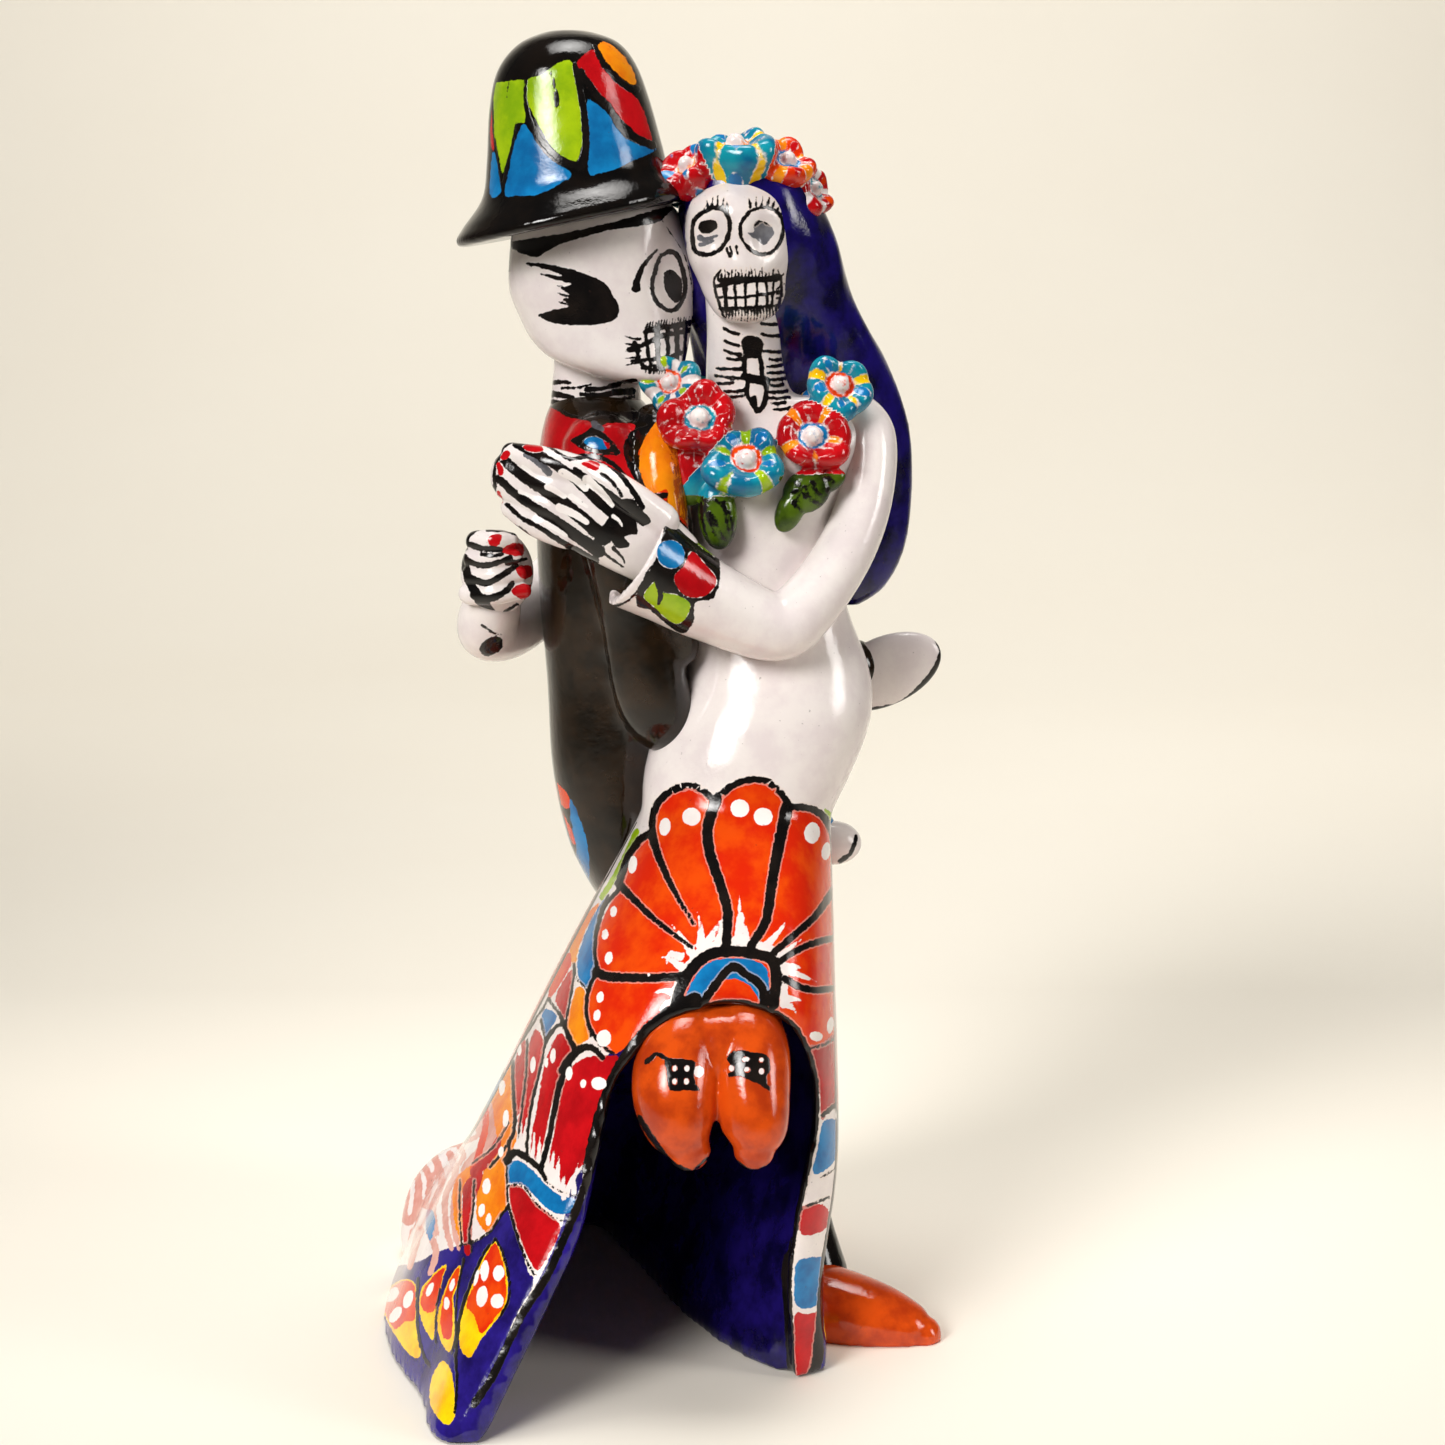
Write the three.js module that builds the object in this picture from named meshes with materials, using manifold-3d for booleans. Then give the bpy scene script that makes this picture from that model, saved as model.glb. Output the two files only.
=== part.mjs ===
// A glazed earthenware catrina bride and groom, dancing, fired in one piece.
// Millimetres, +Z up. The figures stand on Z = 0 and the origin is the middle of their footprint.
// The bride looks towards -Y, the groom stands on her -X side and looks towards +X.
import * as THREE from "three";
import { mergeVertices } from "three/addons/utils/BufferGeometryUtils.js";
import Module from "manifold-3d";

const wasm = await Module();
wasm.setup();

// Driving dimensions
const HEIGHT = 290; // floor to the top of the hat
const HIP_HEIGHT = 130; // where the skirt's form runs into the hips
const ARCH_HEIGHT = 87; // top of the skirt's open front
const FOOTPRINT_MIDDLE = [-15, 0]; // of the forms below, which are then moved over the origin

const up = new THREE.Vector3(0, 0, 1);

// A three.js geometry as a solid that can be joined and cut.
function solid(geometry) {
  const bare = geometry.clone();
  bare.deleteAttribute("normal");
  bare.deleteAttribute("uv");
  const merged = mergeVertices(bare, 1e-4);
  return new wasm.Manifold(
    new wasm.Mesh({
      numProp: 3,
      vertProperties: merged.attributes.position.array,
      triVerts: new Uint32Array(merged.index.array),
    }),
  );
}

const join = (solids) => solids.reduce((whole, piece) => whole.add(piece));

// The smooth value at t from 0 to 1 along rows of numbers of one length.
function along(rows, t) {
  const place = t * (rows.length - 1);
  const i = Math.min(Math.floor(place), rows.length - 2);
  const row = (k) => rows[Math.max(0, Math.min(rows.length - 1, k))];
  const catmull = (a, b, c, d, s) =>
    b + 0.5 * s * (c - a + s * (2 * a - 5 * b + 4 * c - d + s * (3 * (b - c) + d - a)));
  return rows[i].map((_, n) =>
    catmull(row(i - 1)[n], row(i)[n], row(i + 1)[n], row(i + 2)[n], place - i),
  );
}

// A closed body through rings of points, each ring counter-clockwise about the way the rings go.
function skin(rings) {
  const sides = rings[0].length;
  const middle = (ring) =>
    ring.reduce((sum, p) => sum.add(p), new THREE.Vector3()).divideScalar(sides);
  const points = [...rings.flat(), middle(rings[0]), middle(rings.at(-1))];
  const faces = [];
  const last = (rings.length - 1) * sides;
  for (let s = 0; s < sides; s++) {
    const next = (s + 1) % sides;
    for (let r = 0; r < last; r += sides) {
      faces.push(r + s, r + next, r + sides + next, r + s, r + sides + next, r + sides + s);
    }
    faces.push(points.length - 2, next, s);
    faces.push(points.length - 1, last + s, last + next);
  }
  return solid(new THREE.BufferGeometry().setFromPoints(points).setIndex(faces));
}

// A ring of points at angles a, given by a function of the angle.
const ring = (sides, point) =>
  Array.from({ length: sides }, (_, s) => point((s / sides) * 2 * Math.PI));

// A body with level oval rings through rows of [z, x, y, radius along X, radius along Y], from the bottom up.
// tilt, where a row has it, is the ring's slope along X in degrees.
function column(rows, sides, steps) {
  return skin(
    Array.from({ length: steps + 1 }, (_, k) => {
      const [z, x, y, rx, ry, tilt = 0] = along(rows, k / steps);
      const slope = Math.tan(THREE.MathUtils.degToRad(tilt));
      return ring(sides, (a) => {
        const dx = rx * Math.cos(a);
        return new THREE.Vector3(x + dx, y + ry * Math.sin(a), z + dx * slope);
      });
    }),
  );
}

// A round limb along a smooth line through rows of [x, y, z, radius].
function limb(rows, sides, steps) {
  const line = new THREE.CatmullRomCurve3(rows.map(([x, y, z]) => new THREE.Vector3(x, y, z)));
  const { normals, binormals } = line.computeFrenetFrames(steps);
  return skin(
    Array.from({ length: steps + 1 }, (_, k) => {
      const centre = line.getPoint(k / steps);
      const [radius] = along(rows.map((row) => [row[3]]), k / steps);
      return ring(sides, (a) =>
        centre
          .clone()
          .addScaledVector(normals[k], radius * Math.cos(a))
          .addScaledVector(binormals[k], radius * Math.sin(a)),
      );
    }),
  );
}

// An egg at a place, with radii along its own axes and its first axis pointing up by turn degrees.
function egg([x, y, z], [rx, ry, rz], turn = 0, sides = 14) {
  const shape = new THREE.SphereGeometry(1, sides, Math.round(sides * 0.6));
  const matrix = new THREE.Matrix4()
    .makeTranslation(x, y, z)
    .multiply(new THREE.Matrix4().makeRotationY(THREE.MathUtils.degToRad(-turn)))
    .multiply(new THREE.Matrix4().makeScale(rx, ry, rz));
  return solid(shape.applyMatrix4(matrix));
}

// A moulded flower at a place, facing a direction: a lobed cushion with a bead in the middle.
function flower(place, facing, radius) {
  const PETALS = 5;
  const RINGS = [
    [-0.9, 0.6],
    [0.0, 1.0],
    [0.3, 0.6],
  ]; // [height, radius] as shares of the flower's radius
  const turn = new THREE.Quaternion().setFromUnitVectors(
    up,
    new THREE.Vector3(...facing).normalize(),
  );
  const set = (p) => p.multiplyScalar(radius).applyQuaternion(turn).add(new THREE.Vector3(...place));
  const cushion = skin(
    RINGS.map(([height, share]) =>
      ring(2 * PETALS, (a) => {
        const lobe = share * (0.86 + 0.14 * Math.cos(PETALS * a));
        return set(new THREE.Vector3(lobe * Math.cos(a), lobe * Math.sin(a), height));
      }),
    ),
  );
  const bead = set(new THREE.Vector3(0, 0, 0.3));
  return cushion.add(egg(bead.toArray(), Array(3).fill(radius * 0.3), 0, 6));
}

// The skirt

// Lines down the skirt, counter-clockwise from the front right corner. Each is [x, y] at these heights.
const LINE_HEIGHTS = [0, 22, 50, 90, HIP_HEIGHT];
const OUTER_LINES = {
  rightCorner: [[19, -33], [17, -36], [20, -38], [18, -40], [14, -12.5]],
  rightEdge: [[22.5, -25], [22, -24], [25.5, -20], [24.5, -16], [23, -3.5]],
  right: [[10, -6], [13, -4], [20, 3], [23, 9], [22, 6.5]],
  rightBack: [[-5, 25], [0, 26], [8, 26], [14, 24], [12.5, 11.5]],
  backRight: [[-18, 55], [-13, 52], [-5, 43], [2, 31], [5.5, 13.5]],
  back: [[-34, 68], [-29, 61], [-18, 48], [-9, 31], [-1, 13]],
  backLeft: [[-57, 60], [-51, 54], [-35, 43], [-20, 27], [-6, 10.5]],
  leftBack: [[-76, 40], [-68, 37], [-48, 30], [-29.5, 19], [-10, 7]],
  left: [[-79.5, 10], [-69, 11], [-54, 10], [-34, 6], [-12.5, 2]],
  leftEdge: [[-75.5, -18], [-68, -17], [-52.5, -13], [-33, -9], [-12.5, -4]],
  frontLeft: [[-66, -43], [-58, -41], [-44, -36], [-28, -28], [-9.5, -10]],
  leftTip: [[-56, -68], [-43, -62], [-30, -54], [-16, -44], [-4, -14]],
  front: [[-18, -54], [-13, -51], [-6, -48], [2, -46], [4.5, -15.5]],
};

// The same for the hollow, whose lines stop below the hips. It is open at the floor.
const HOLLOW_HEIGHTS = [-1, 22, 50, 78, 100];
const HOLLOW_LINES = {
  rightCorner: [[14.5, -33], [14.8, -32], [18, -33], [17, -32], [11, -25]],
  rightEdge: [[8, -29], [12, -24], [18.5, -18], [19.5, -13], [16, -8]],
  right: [[-3.5, -13], [3, -8], [12, 2], [15, 6], [14, 6]],
  rightBack: [[-13, 7], [-6, 14], [2, 21], [7, 22], [8, 16]],
  backRight: [[-24, 38], [-19, 38], [-10, 36], [-2, 29], [1, 21]],
  back: [[-37, 61], [-32, 54], [-20, 41], [-11, 31], [-5, 21]],
  leftBack: [[-67, 37], [-60, 33], [-42, 25], [-27, 20], [-16, 14]],
  left: [[-72, 4], [-61, 6], [-47, 5], [-33, 4], [-22, 3]],
  frontLeft: [[-60, -40], [-52, -37], [-39, -32], [-27, -26], [-17, -18]],
  front: [[-20, -50], [-15, -47], [-8, -43], [-3, -38], [-2, -28]],
};

// A closed body through the lines, whose levels and lines are both smooth.
function draped(lines, heights, sides, steps) {
  return skin(
    Array.from({ length: steps + 1 }, (_, k) => {
      const t = k / steps;
      const [z] = along(heights.map((h) => [h]), t);
      const corners = Object.values(lines).map((line) => new THREE.Vector3(...along(line, t), z));
      const outline = new THREE.CatmullRomCurve3(corners, true, "catmullrom", 0.5);
      return outline.getPoints(sides).slice(0, sides);
    }),
  );
}

// The open front, as [x, z] from the left tip over the top to the right corner.
const ARCH = [
  [-50, -1],
  [-44, 11],
  [-36.5, 26],
  [-29.5, 41],
  [-25.5, 58],
  [-21.5, 73],
  [-10, 85],
  [3, ARCH_HEIGHT],
  [13.5, 83],
  [18.5, 72],
  [19, 58],
  [15.8, 41],
  [14, 26],
  [14.5, 12],
  [15.5, -1],
];
const ARCH_BACK = -30.5; // how far back the opening's cutter reaches
const ARCH_FRONT = -90;

function archCutter() {
  const shape = new THREE.Shape();
  shape.moveTo(...ARCH[0]);
  shape.splineThru(ARCH.slice(1).map(([x, z]) => new THREE.Vector2(x, z)));
  const cut = new THREE.ExtrudeGeometry(shape, {
    depth: ARCH_BACK - ARCH_FRONT,
    bevelEnabled: false,
    curveSegments: 2,
  });
  return solid(cut.rotateX(Math.PI / 2).translate(0, ARCH_BACK, 0));
}

function skirt() {
  // a fold of the train at the back left
  const fold = limb(
    [
      [-66, 42, -8, 13],
      [-66, 43, 4, 13.5],
      [-64.5, 42, 14, 12.5],
      [-60, 38, 22, 8.5],
      [-50, 32, 29, 3],
    ],
    10,
    6,
  );
  return {
    outside: draped(OUTER_LINES, LINE_HEIGHTS, 36, 9).add(fold),
    hollow: draped(HOLLOW_LINES, HOLLOW_HEIGHTS, 26, 7).add(archCutter()),
  };
}

// The bride

function brideBody() {
  const bodice = column(
    [
      [110, 3, 0, 17, 15],
      [121, 3.5, -1, 21.3, 19.3],
      [132, 6.5, 0, 23.5, 19.5],
      [143, 10.5, 1, 22.8, 18],
      [153, 12, 2, 20.3, 15],
      [165, 10.5, 2, 17.3, 12],
      [177, 9.5, 1, 15.8, 11],
      [190, 9.5, 0, 17, 12],
      [200, 10.5, 1, 21, 11.5],
      [207, 11, 3, 21.5, 9.5],
      [212, 9, 3, 15, 7.5],
    ],
    14,
    11,
  );
  const neck = limb(
    [
      [7, 4, 203, 11],
      [5, 4, 216, 8.8],
      [4.5, 3, 226, 8],
      [4, 3, 236, 8],
    ],
    10,
    3,
  );
  return bodice.add(neck);
}

function brideHead() {
  const skull = column(
    [
      [228, 5, -6, 2.5, 2.5],
      [229.5, 5, -4.5, 6, 6.5],
      [233, 4.8, -2, 8.4, 9.5],
      [237, 4.4, 0, 9.8, 11.5],
      [242, 4, 1, 11.6, 12.8],
      [248, 3.8, 1.5, 12.3, 13.2],
      [254, 3.6, 2, 11, 12],
      [259, 3.5, 3, 7, 8],
    ],
    16,
    9,
  );
  const eyes = [
    [-2, -12.5, 245.5],
    [9.3, -12.5, 246],
  ].map((place) => egg(place, [4, 3, 4.4], 0, 8));
  return skull.subtract(join(eyes));
}

function brideHair() {
  return column(
    [
      [163.5, 29, 20, 2, 1.5],
      [168, 28, 20, 9, 5],
      [177, 24, 20, 17.5, 7],
      [190, 22, 20, 21, 8],
      [205, 19, 18, 23, 8.5],
      [220, 15, 15, 21.5, 10.5],
      [233, 10, 11, 18.8, 13],
      [246, 7.5, 7, 17, 14],
      [257, 5, 5, 14, 12],
      [263, 4, 4, 8, 7],
      [264.5, 4, 4, 2, 2],
    ],
    13,
    10,
  );
}

function brideArms() {
  const leftArm = limb(
    [
      [25, 5, 208, 7],
      [31.5, 2, 203.5, 6.3],
      [31, -3, 191, 6.2],
      [26.5, -8, 179, 6.4],
      [18, -13, 167.5, 6.8],
      [11, -15, 163.5, 7.4],
      [-3, -17, 169.4, 8.8],
      [-11, -18.5, 174.2, 9.8],
      [-18.3, -20, 179.3, 10.8],
    ],
    10,
    12,
  );
  const rightArm = limb(
    [
      [-2, 10, 207, 7],
      [-16, 33, 194, 7],
      [-34, 34, 172, 7.3],
      [-46, 20, 161, 7.6],
      [-52, 7, 160, 7.2],
      [-51, 2, 166, 6.5],
    ],
    10,
    8,
  );
  return leftArm.add(rightArm);
}

// A mitten-like hand: a palm, and fingers side by side from a knuckle line to their tips.
function hand(palm, knuckles, tips, radius) {
  const CURL = 1.5; // how far the middle of a finger stands forward
  const fingers = knuckles.map((start, i) => {
    const [x, y, z] = start.map((v, n) => (v + tips[i][n]) / 2);
    return limb(
      [
        [...start, radius],
        [x, y - CURL, z, radius * 1.05],
        [...tips[i], radius * 0.7],
      ],
      6,
      2,
    );
  });
  return join([palm, ...fingers]);
}

// Points side by side, from one place by equal steps.
const row = (count, start, step) =>
  Array.from({ length: count }, (_, i) => start.map((v, n) => v + i * step[n]));

function brideHands() {
  const FINGERS = 4;
  const leftHand = hand(
    egg([-24.5, -18.5, 188], [13.5, 6, 9.5], -20, 10),
    row(FINGERS, [-28, -21.5, 198.5], [1.4, 0.2, -4.6]),
    row(FINGERS, [-45.8, -13, 201.2], [-0.3, 0, -4.1]),
    2.9,
  );
  const thumb = limb(
    [
      [-18, -20, 191, 3],
      [-23.5, -22, 199, 3],
      [-31, -19.5, 201.5, 2.4],
    ],
    6,
    4,
  );
  const rightHand = hand(
    egg([-50, -1, 173.5], [7.5, 6.5, 9.2], 0, 10),
    row(FINGERS, [-53.5, -4.5, 180.8], [-0.6, 0, -3.8]),
    row(FINGERS, [-46.5, -6.5, 181.8], [0.9, 0, -3.9]),
    2.4,
  );
  return join([leftHand, thumb, rightHand]);
}

// The two shoes that hang below the lifted front of the skirt.
function brideShoes() {
  const shoe = (x, toe) =>
    limb(
      [
        [x * 0.7, -29, 92, 8],
        [x * 0.95, -39, 84, 8.7],
        [x, -48, 74, 9],
        [toe, -52, 63, 7.2],
        [toe, -53, 56.5, 4],
      ],
      9,
      6,
    );
  return shoe(-9.6, -7.5).add(shoe(6, 6.8));
}

function flowers() {
  const CROWN = [
    [[2.7, -3, 265.5], [0, -0.6, 1], 8.2],
    [[-7, -2, 260.5], [-0.7, -0.7, 0.7], 6.5],
    [[13.5, -1, 262], [0.5, -0.6, 0.8], 6.8],
    [[19, 4, 256.5], [1, -0.4, 0.5], 6.3],
    [[4, 13, 262], [0, 0.7, 0.8], 7.2],
  ];
  const COLLAR = [
    [[25, -6, 214.5], [0.3, -1, 0.3], 7.2],
    [[19, -11, 204], [0.15, -1, 0.1], 8],
    [[5.2, -15, 199], [0, -1, 0], 8.6],
    [[-4.5, -12, 208], [-0.1, -1, 0.2], 8.4],
    [[-10.5, -6, 215], [-0.3, -1, 0.4], 6.6],
  ];
  const leaves = [
    egg([-0.5, -14, 187], [3.2, 2.5, 7.5], 0, 10),
    egg([18, -12.5, 193], [6, 2.2, 5], 20, 10),
  ];
  const moulded = [...CROWN, ...COLLAR].map((spec) => flower(...spec));
  return join([...moulded, ...leaves]);
}

// The groom

function groomHead() {
  const skull = column(
    [
      [214.8, -16, -1, 4, 4],
      [216.5, -18.5, 0, 9.5, 8.5],
      [220, -22.5, 3, 14.5, 12.5],
      [224, -24.5, 6, 17.2, 15],
      [229, -25.5, 7.5, 19, 16],
      [235, -26.4, 8, 20.3, 16.6],
      [243, -26.3, 8, 20.2, 16.5],
      [250, -27, 8, 18.5, 15.5],
      [254, -28, 8, 16, 14],
    ],
    15,
    10,
  );
  const eyes = [
    [-12, -7.5, 239.5],
    [-9.5, 19, 240],
  ].map((place) => egg(place, [3.4, 3, 5.4], 0, 8));
  const neck = limb(
    [
      [-28, 11, 200, 11.5],
      [-28, 11, 211, 10],
      [-27.5, 10, 222, 9.5],
      [-27, 9, 232, 9.5],
    ],
    10,
    3,
  );
  return skull.subtract(join(eyes)).add(neck);
}

function groomHat() {
  const BRIM_TILT = 11.6; // the brim's left side hangs lower
  const crown = column(
    [
      [249.5, -32, 5, 14, 14, BRIM_TILT],
      [248.8, -32.5, 5, 23, 22.5, BRIM_TILT],
      [250.2, -32.6, 5, 25.2, 24.3, BRIM_TILT],
      [252.8, -32.4, 5, 24, 22.5, BRIM_TILT],
      [257.5, -31.8, 5.5, 20.3, 19.5, 9],
      [264, -32, 6, 19, 18.5, 5],
      [274, -33, 7, 17.4, 17, 3],
      [282, -33.6, 7, 15, 15, 3],
      [287, -33.4, 7, 11, 11, 2],
      [289.4, -33, 7, 5.5, 5.5, 0],
      [HEIGHT, -33, 7, 0.8, 0.8, 0],
    ],
    18,
    12,
  );
  return crown;
}

function groomCoat() {
  const coat = column(
    [
      [90, -16, 21, 4, 8],
      [95, -18, 20, 9.5, 15],
      [103, -20.5, 19, 12, 18.5],
      [112, -22.8, 18, 13.2, 19.5],
      [128, -25.5, 16, 13.4, 19],
      [148, -25, 15, 14.8, 19.2],
      [170, -25, 14, 16.4, 21.5],
      [190, -25.3, 14, 16.4, 23.5],
      [202, -26.5, 13, 14, 22],
      [209, -27.5, 12, 11, 15],
      [212.5, -28, 11, 8, 9],
    ],
    16,
    10,
  );
  const rightArm = limb(
    [
      [-26, -4, 200, 9],
      [-22, -9, 184, 9],
      [-18, -8, 165, 8.6],
      [-14, -5, 144, 8.2],
      [-3, 8, 139, 7.6],
      [14, 21, 143, 7.2],
      [30, 23, 149, 6.5],
    ],
    9,
    8,
  );
  const leftArm = limb(
    [
      [-27, 22, 201, 8],
      [-21, 34, 193, 9],
      [-12, 42, 174, 8.6],
      [-3, 43, 150, 8],
      [7, 36, 128, 7.4],
      [21, 26.5, 109, 6],
    ],
    8,
    6,
  );
  return join([coat, rightArm, leftArm]);
}

// His open right hand behind the bride's waist, and the tip of his left hand at her hip.
function groomHands() {
  const right = egg([37, 22, 148], [14, 3.4, 8], 24, 12);
  const left = egg([25.5, 25.5, 107], [7, 5, 5.2], 0, 8);
  return right.add(left);
}

function groomLegs() {
  const rightLeg = limb(
    [
      [-12, 26, 114, 13],
      [-2, 27, 86, 12],
      [8, 20, 52, 9.5],
      [14, 7, 26, 7.6],
      [16.5, 1, 10, 8],
    ],
    10,
    7,
  );
  const leftLeg = limb(
    [
      [-12, 32, 112, 13],
      [-6, 42, 84, 12],
      [-4, 52, 48, 9.5],
      [-6, 57, 26, 8],
      [-6, 58, 10, 8.2],
    ],
    10,
    6,
  );
  return rightLeg.add(leftLeg);
}

// A pointed shoe with its heel at a place and its toe towards +X, turned by some degrees.
function groomShoe([x, y], turn) {
  const upper = limb(
    [
      [-4, 0, 4, 6],
      [5, 0, 5.5, 9.3],
      [13, 0, 4, 9],
      [22, 0, 2, 7],
      [29, 0, 0.8, 3.8],
      [31.5, 0, 0, 1],
    ],
    10,
    7,
  );
  return upper.rotate([0, 0, turn]).translate([x, y, 0]);
}

function couple() {
  const dress = skirt();
  const figures = join([
    dress.outside,
    brideBody(),
    brideHair(),
    brideArms(),
    groomHead(),
    groomHat(),
    groomCoat(),
    groomHands(),
    groomLegs(),
  ]);
  const withHollow = figures.subtract(dress.hollow);
  const FLOOR_BLOCK = 400;
  const floor = solid(
    new THREE.BoxGeometry(FLOOR_BLOCK, FLOOR_BLOCK, FLOOR_BLOCK).translate(0, 0, -FLOOR_BLOCK / 2),
  );
  return join([
    withHollow,
    brideHead(),
    brideHands(),
    brideShoes(),
    flowers(),
    groomShoe([15, -3], -16),
    groomShoe([-10, 58], 0),
  ]).subtract(floor);
}

function meshOf(body, name, material) {
  const { numProp, vertProperties, triVerts } = body.getMesh();
  const position = new Float32Array((vertProperties.length / numProp) * 3);
  for (let i = 0; i < position.length / 3; i++) {
    position.set(vertProperties.subarray(i * numProp, i * numProp + 3), i * 3);
  }
  const geometry = new THREE.BufferGeometry()
    .setAttribute("position", new THREE.BufferAttribute(position, 3))
    .setIndex(new THREE.BufferAttribute(triVerts, 1));
  geometry.computeVertexNormals();
  const mesh = new THREE.Mesh(geometry, material);
  mesh.name = name;
  return mesh;
}

const glaze = new THREE.MeshStandardMaterial({ color: 0xf1ece6, roughness: 0.12, metalness: 0 });
const figurine = new THREE.Group();
const catrinas = meshOf(couple(), "catrina_couple", glaze);
catrinas.position.set(-FOOTPRINT_MIDDLE[0], -FOOTPRINT_MIDDLE[1], 0);
figurine.add(catrinas);

export default figurine;
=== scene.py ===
import math

import bmesh
import bpy
import numpy as np
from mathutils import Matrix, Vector
from mathutils.bvhtree import BVHTree


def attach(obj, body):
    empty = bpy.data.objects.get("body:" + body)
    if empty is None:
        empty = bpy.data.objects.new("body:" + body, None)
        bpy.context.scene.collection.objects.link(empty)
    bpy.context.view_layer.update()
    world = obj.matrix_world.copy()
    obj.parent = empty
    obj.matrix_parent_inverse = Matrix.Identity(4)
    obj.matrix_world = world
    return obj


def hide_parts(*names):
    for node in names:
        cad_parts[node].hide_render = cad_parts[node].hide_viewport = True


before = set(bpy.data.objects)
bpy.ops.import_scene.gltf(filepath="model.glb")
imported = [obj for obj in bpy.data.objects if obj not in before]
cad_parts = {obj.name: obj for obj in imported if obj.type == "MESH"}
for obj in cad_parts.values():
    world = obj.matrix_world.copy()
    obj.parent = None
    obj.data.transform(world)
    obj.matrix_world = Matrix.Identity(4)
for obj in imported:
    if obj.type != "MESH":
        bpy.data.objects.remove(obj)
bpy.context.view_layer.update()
NODE = "catrina_couple"
MM = 0.001
FOOTPRINT_MIDDLE = np.array([-15.0, 0.0, 0.0])  # of the forms below, in mm, which are moved over the origin

# The photograph's camera, in the forms' millimetres
PHOTO_SIZE = 1445
FOCAL_PX = 2700.0
PITCH = math.radians(9.926)  # the camera looks down by this much
EYE = np.array([0.0, -591.0, 243.4])


# Forms

def along(rows, t):
    """The smooth values at places t, from 0 to 1, along rows of numbers of one length."""
    rows = np.asarray(rows, float)
    place = np.clip(np.asarray(t, float), 0, 1) * (len(rows) - 1)
    i = np.minimum(place.astype(int), len(rows) - 2)
    s = (place - i)[..., None]
    a, b, c, d = (rows[np.clip(i + k, 0, len(rows) - 1)] for k in (-1, 0, 1, 2))
    return b + 0.5 * s * (c - a + s * (2 * a - 5 * b + 4 * c - d + s * (3 * (b - c) + d - a)))


def skin(rings):
    """A closed body through rings of points, as vertices and triangles."""
    rings = np.asarray(rings)
    count, sides = rings.shape[:2]
    points = np.vstack([rings.reshape(-1, 3), rings[0].mean(0), rings[-1].mean(0)])
    r, s = np.meshgrid(np.arange(count - 1) * sides, np.arange(sides), indexing="ij")
    n = (s + 1) % sides
    walls = [(r + s, r + n, r + sides + n), (r + s, r + sides + n, r + sides + s)]
    faces = [np.stack(wall, -1).reshape(-1, 3) for wall in walls]
    s, n = s[0], n[0]
    first, last = count * sides, (count - 1) * sides
    faces.append(np.stack([np.full(sides, first), n, s], -1))
    faces.append(np.stack([np.full(sides, first + 1), last + s, last + n], -1))
    return points, np.vstack(faces)


def column(rows, sides=64, steps=48):
    """Level oval rings through rows of [z, x, y, radius along X, along Y, slope along X in degrees]."""
    rows = [list(r) + [0] * (6 - len(r)) for r in rows]
    z, x, y, rx, ry, slope = along(rows, np.linspace(0, 1, steps + 1)).T[..., None]
    a = np.linspace(0, 2 * math.pi, sides, endpoint=False)
    dx = np.maximum(rx, 0.05) * np.cos(a)
    dy = np.maximum(ry, 0.05) * np.sin(a)
    return skin(np.stack([x + dx, y + dy, z + dx * np.tan(np.radians(slope))], -1))


def limb(rows, sides=28, steps=36, flat=1.0, mouth=0.0):
    """A limb with round ends along a smooth line through rows of [x, y, z, radius].

    flat squeezes it across. With a mouth, its end is open and hollow to that depth.
    """
    path = along(rows, np.linspace(0, 1, steps + 1))
    centre, radius = path[:, :3], np.maximum(path[:, 3], 0.05)
    tangent = np.gradient(centre, axis=0)
    tangent /= np.linalg.norm(tangent, axis=1, keepdims=True)
    bow = np.radians([75, 50, 25])  # the rings of a round end

    def cap(i, sign):
        return [(centre[i] + sign * tangent[i] * radius[i] * math.sin(b), tangent[i], radius[i] * math.cos(b))
                for b in bow]

    start, end = cap(0, -1), cap(-1, 1)
    if mouth:
        end = [(centre[-1] - tangent[-1] * deep, tangent[-1], radius[-1] * 0.8) for deep in (mouth, 0)]
    side = np.cross(tangent[0], (0.0, 1.0, 0.0) if abs(tangent[0][1]) < 0.9 else (1.0, 0.0, 0.0))
    rings = []
    a = np.linspace(0, 2 * math.pi, sides, endpoint=False)[:, None]
    for c, f, r in [*start, *zip(centre, tangent, radius), *end[::-1]]:
        side = side - f * (side @ f)
        side /= np.linalg.norm(side)
        rings.append(c + r * (np.cos(a) * side + np.sin(a) * np.cross(f, side) * flat))
    return skin(rings)


def egg(centre, radii, turn=0.0, sides=32):
    """An egg whose first axis points up by turn degrees."""
    t = np.radians(turn)
    rings = []
    a = np.linspace(0, 2 * math.pi, sides, endpoint=False)
    for b in np.linspace(-math.pi / 2, math.pi / 2, sides // 2 + 2)[1:-1]:
        unit = np.stack([np.cos(b) * np.cos(a), np.cos(b) * np.sin(a), np.full_like(a, np.sin(b))], -1)
        p = unit * radii
        rings.append(np.stack([
            p[:, 0] * np.cos(t) - p[:, 2] * np.sin(t),
            p[:, 1],
            p[:, 0] * np.sin(t) + p[:, 2] * np.cos(t),
        ], -1) + centre)
    return skin(rings)


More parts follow.
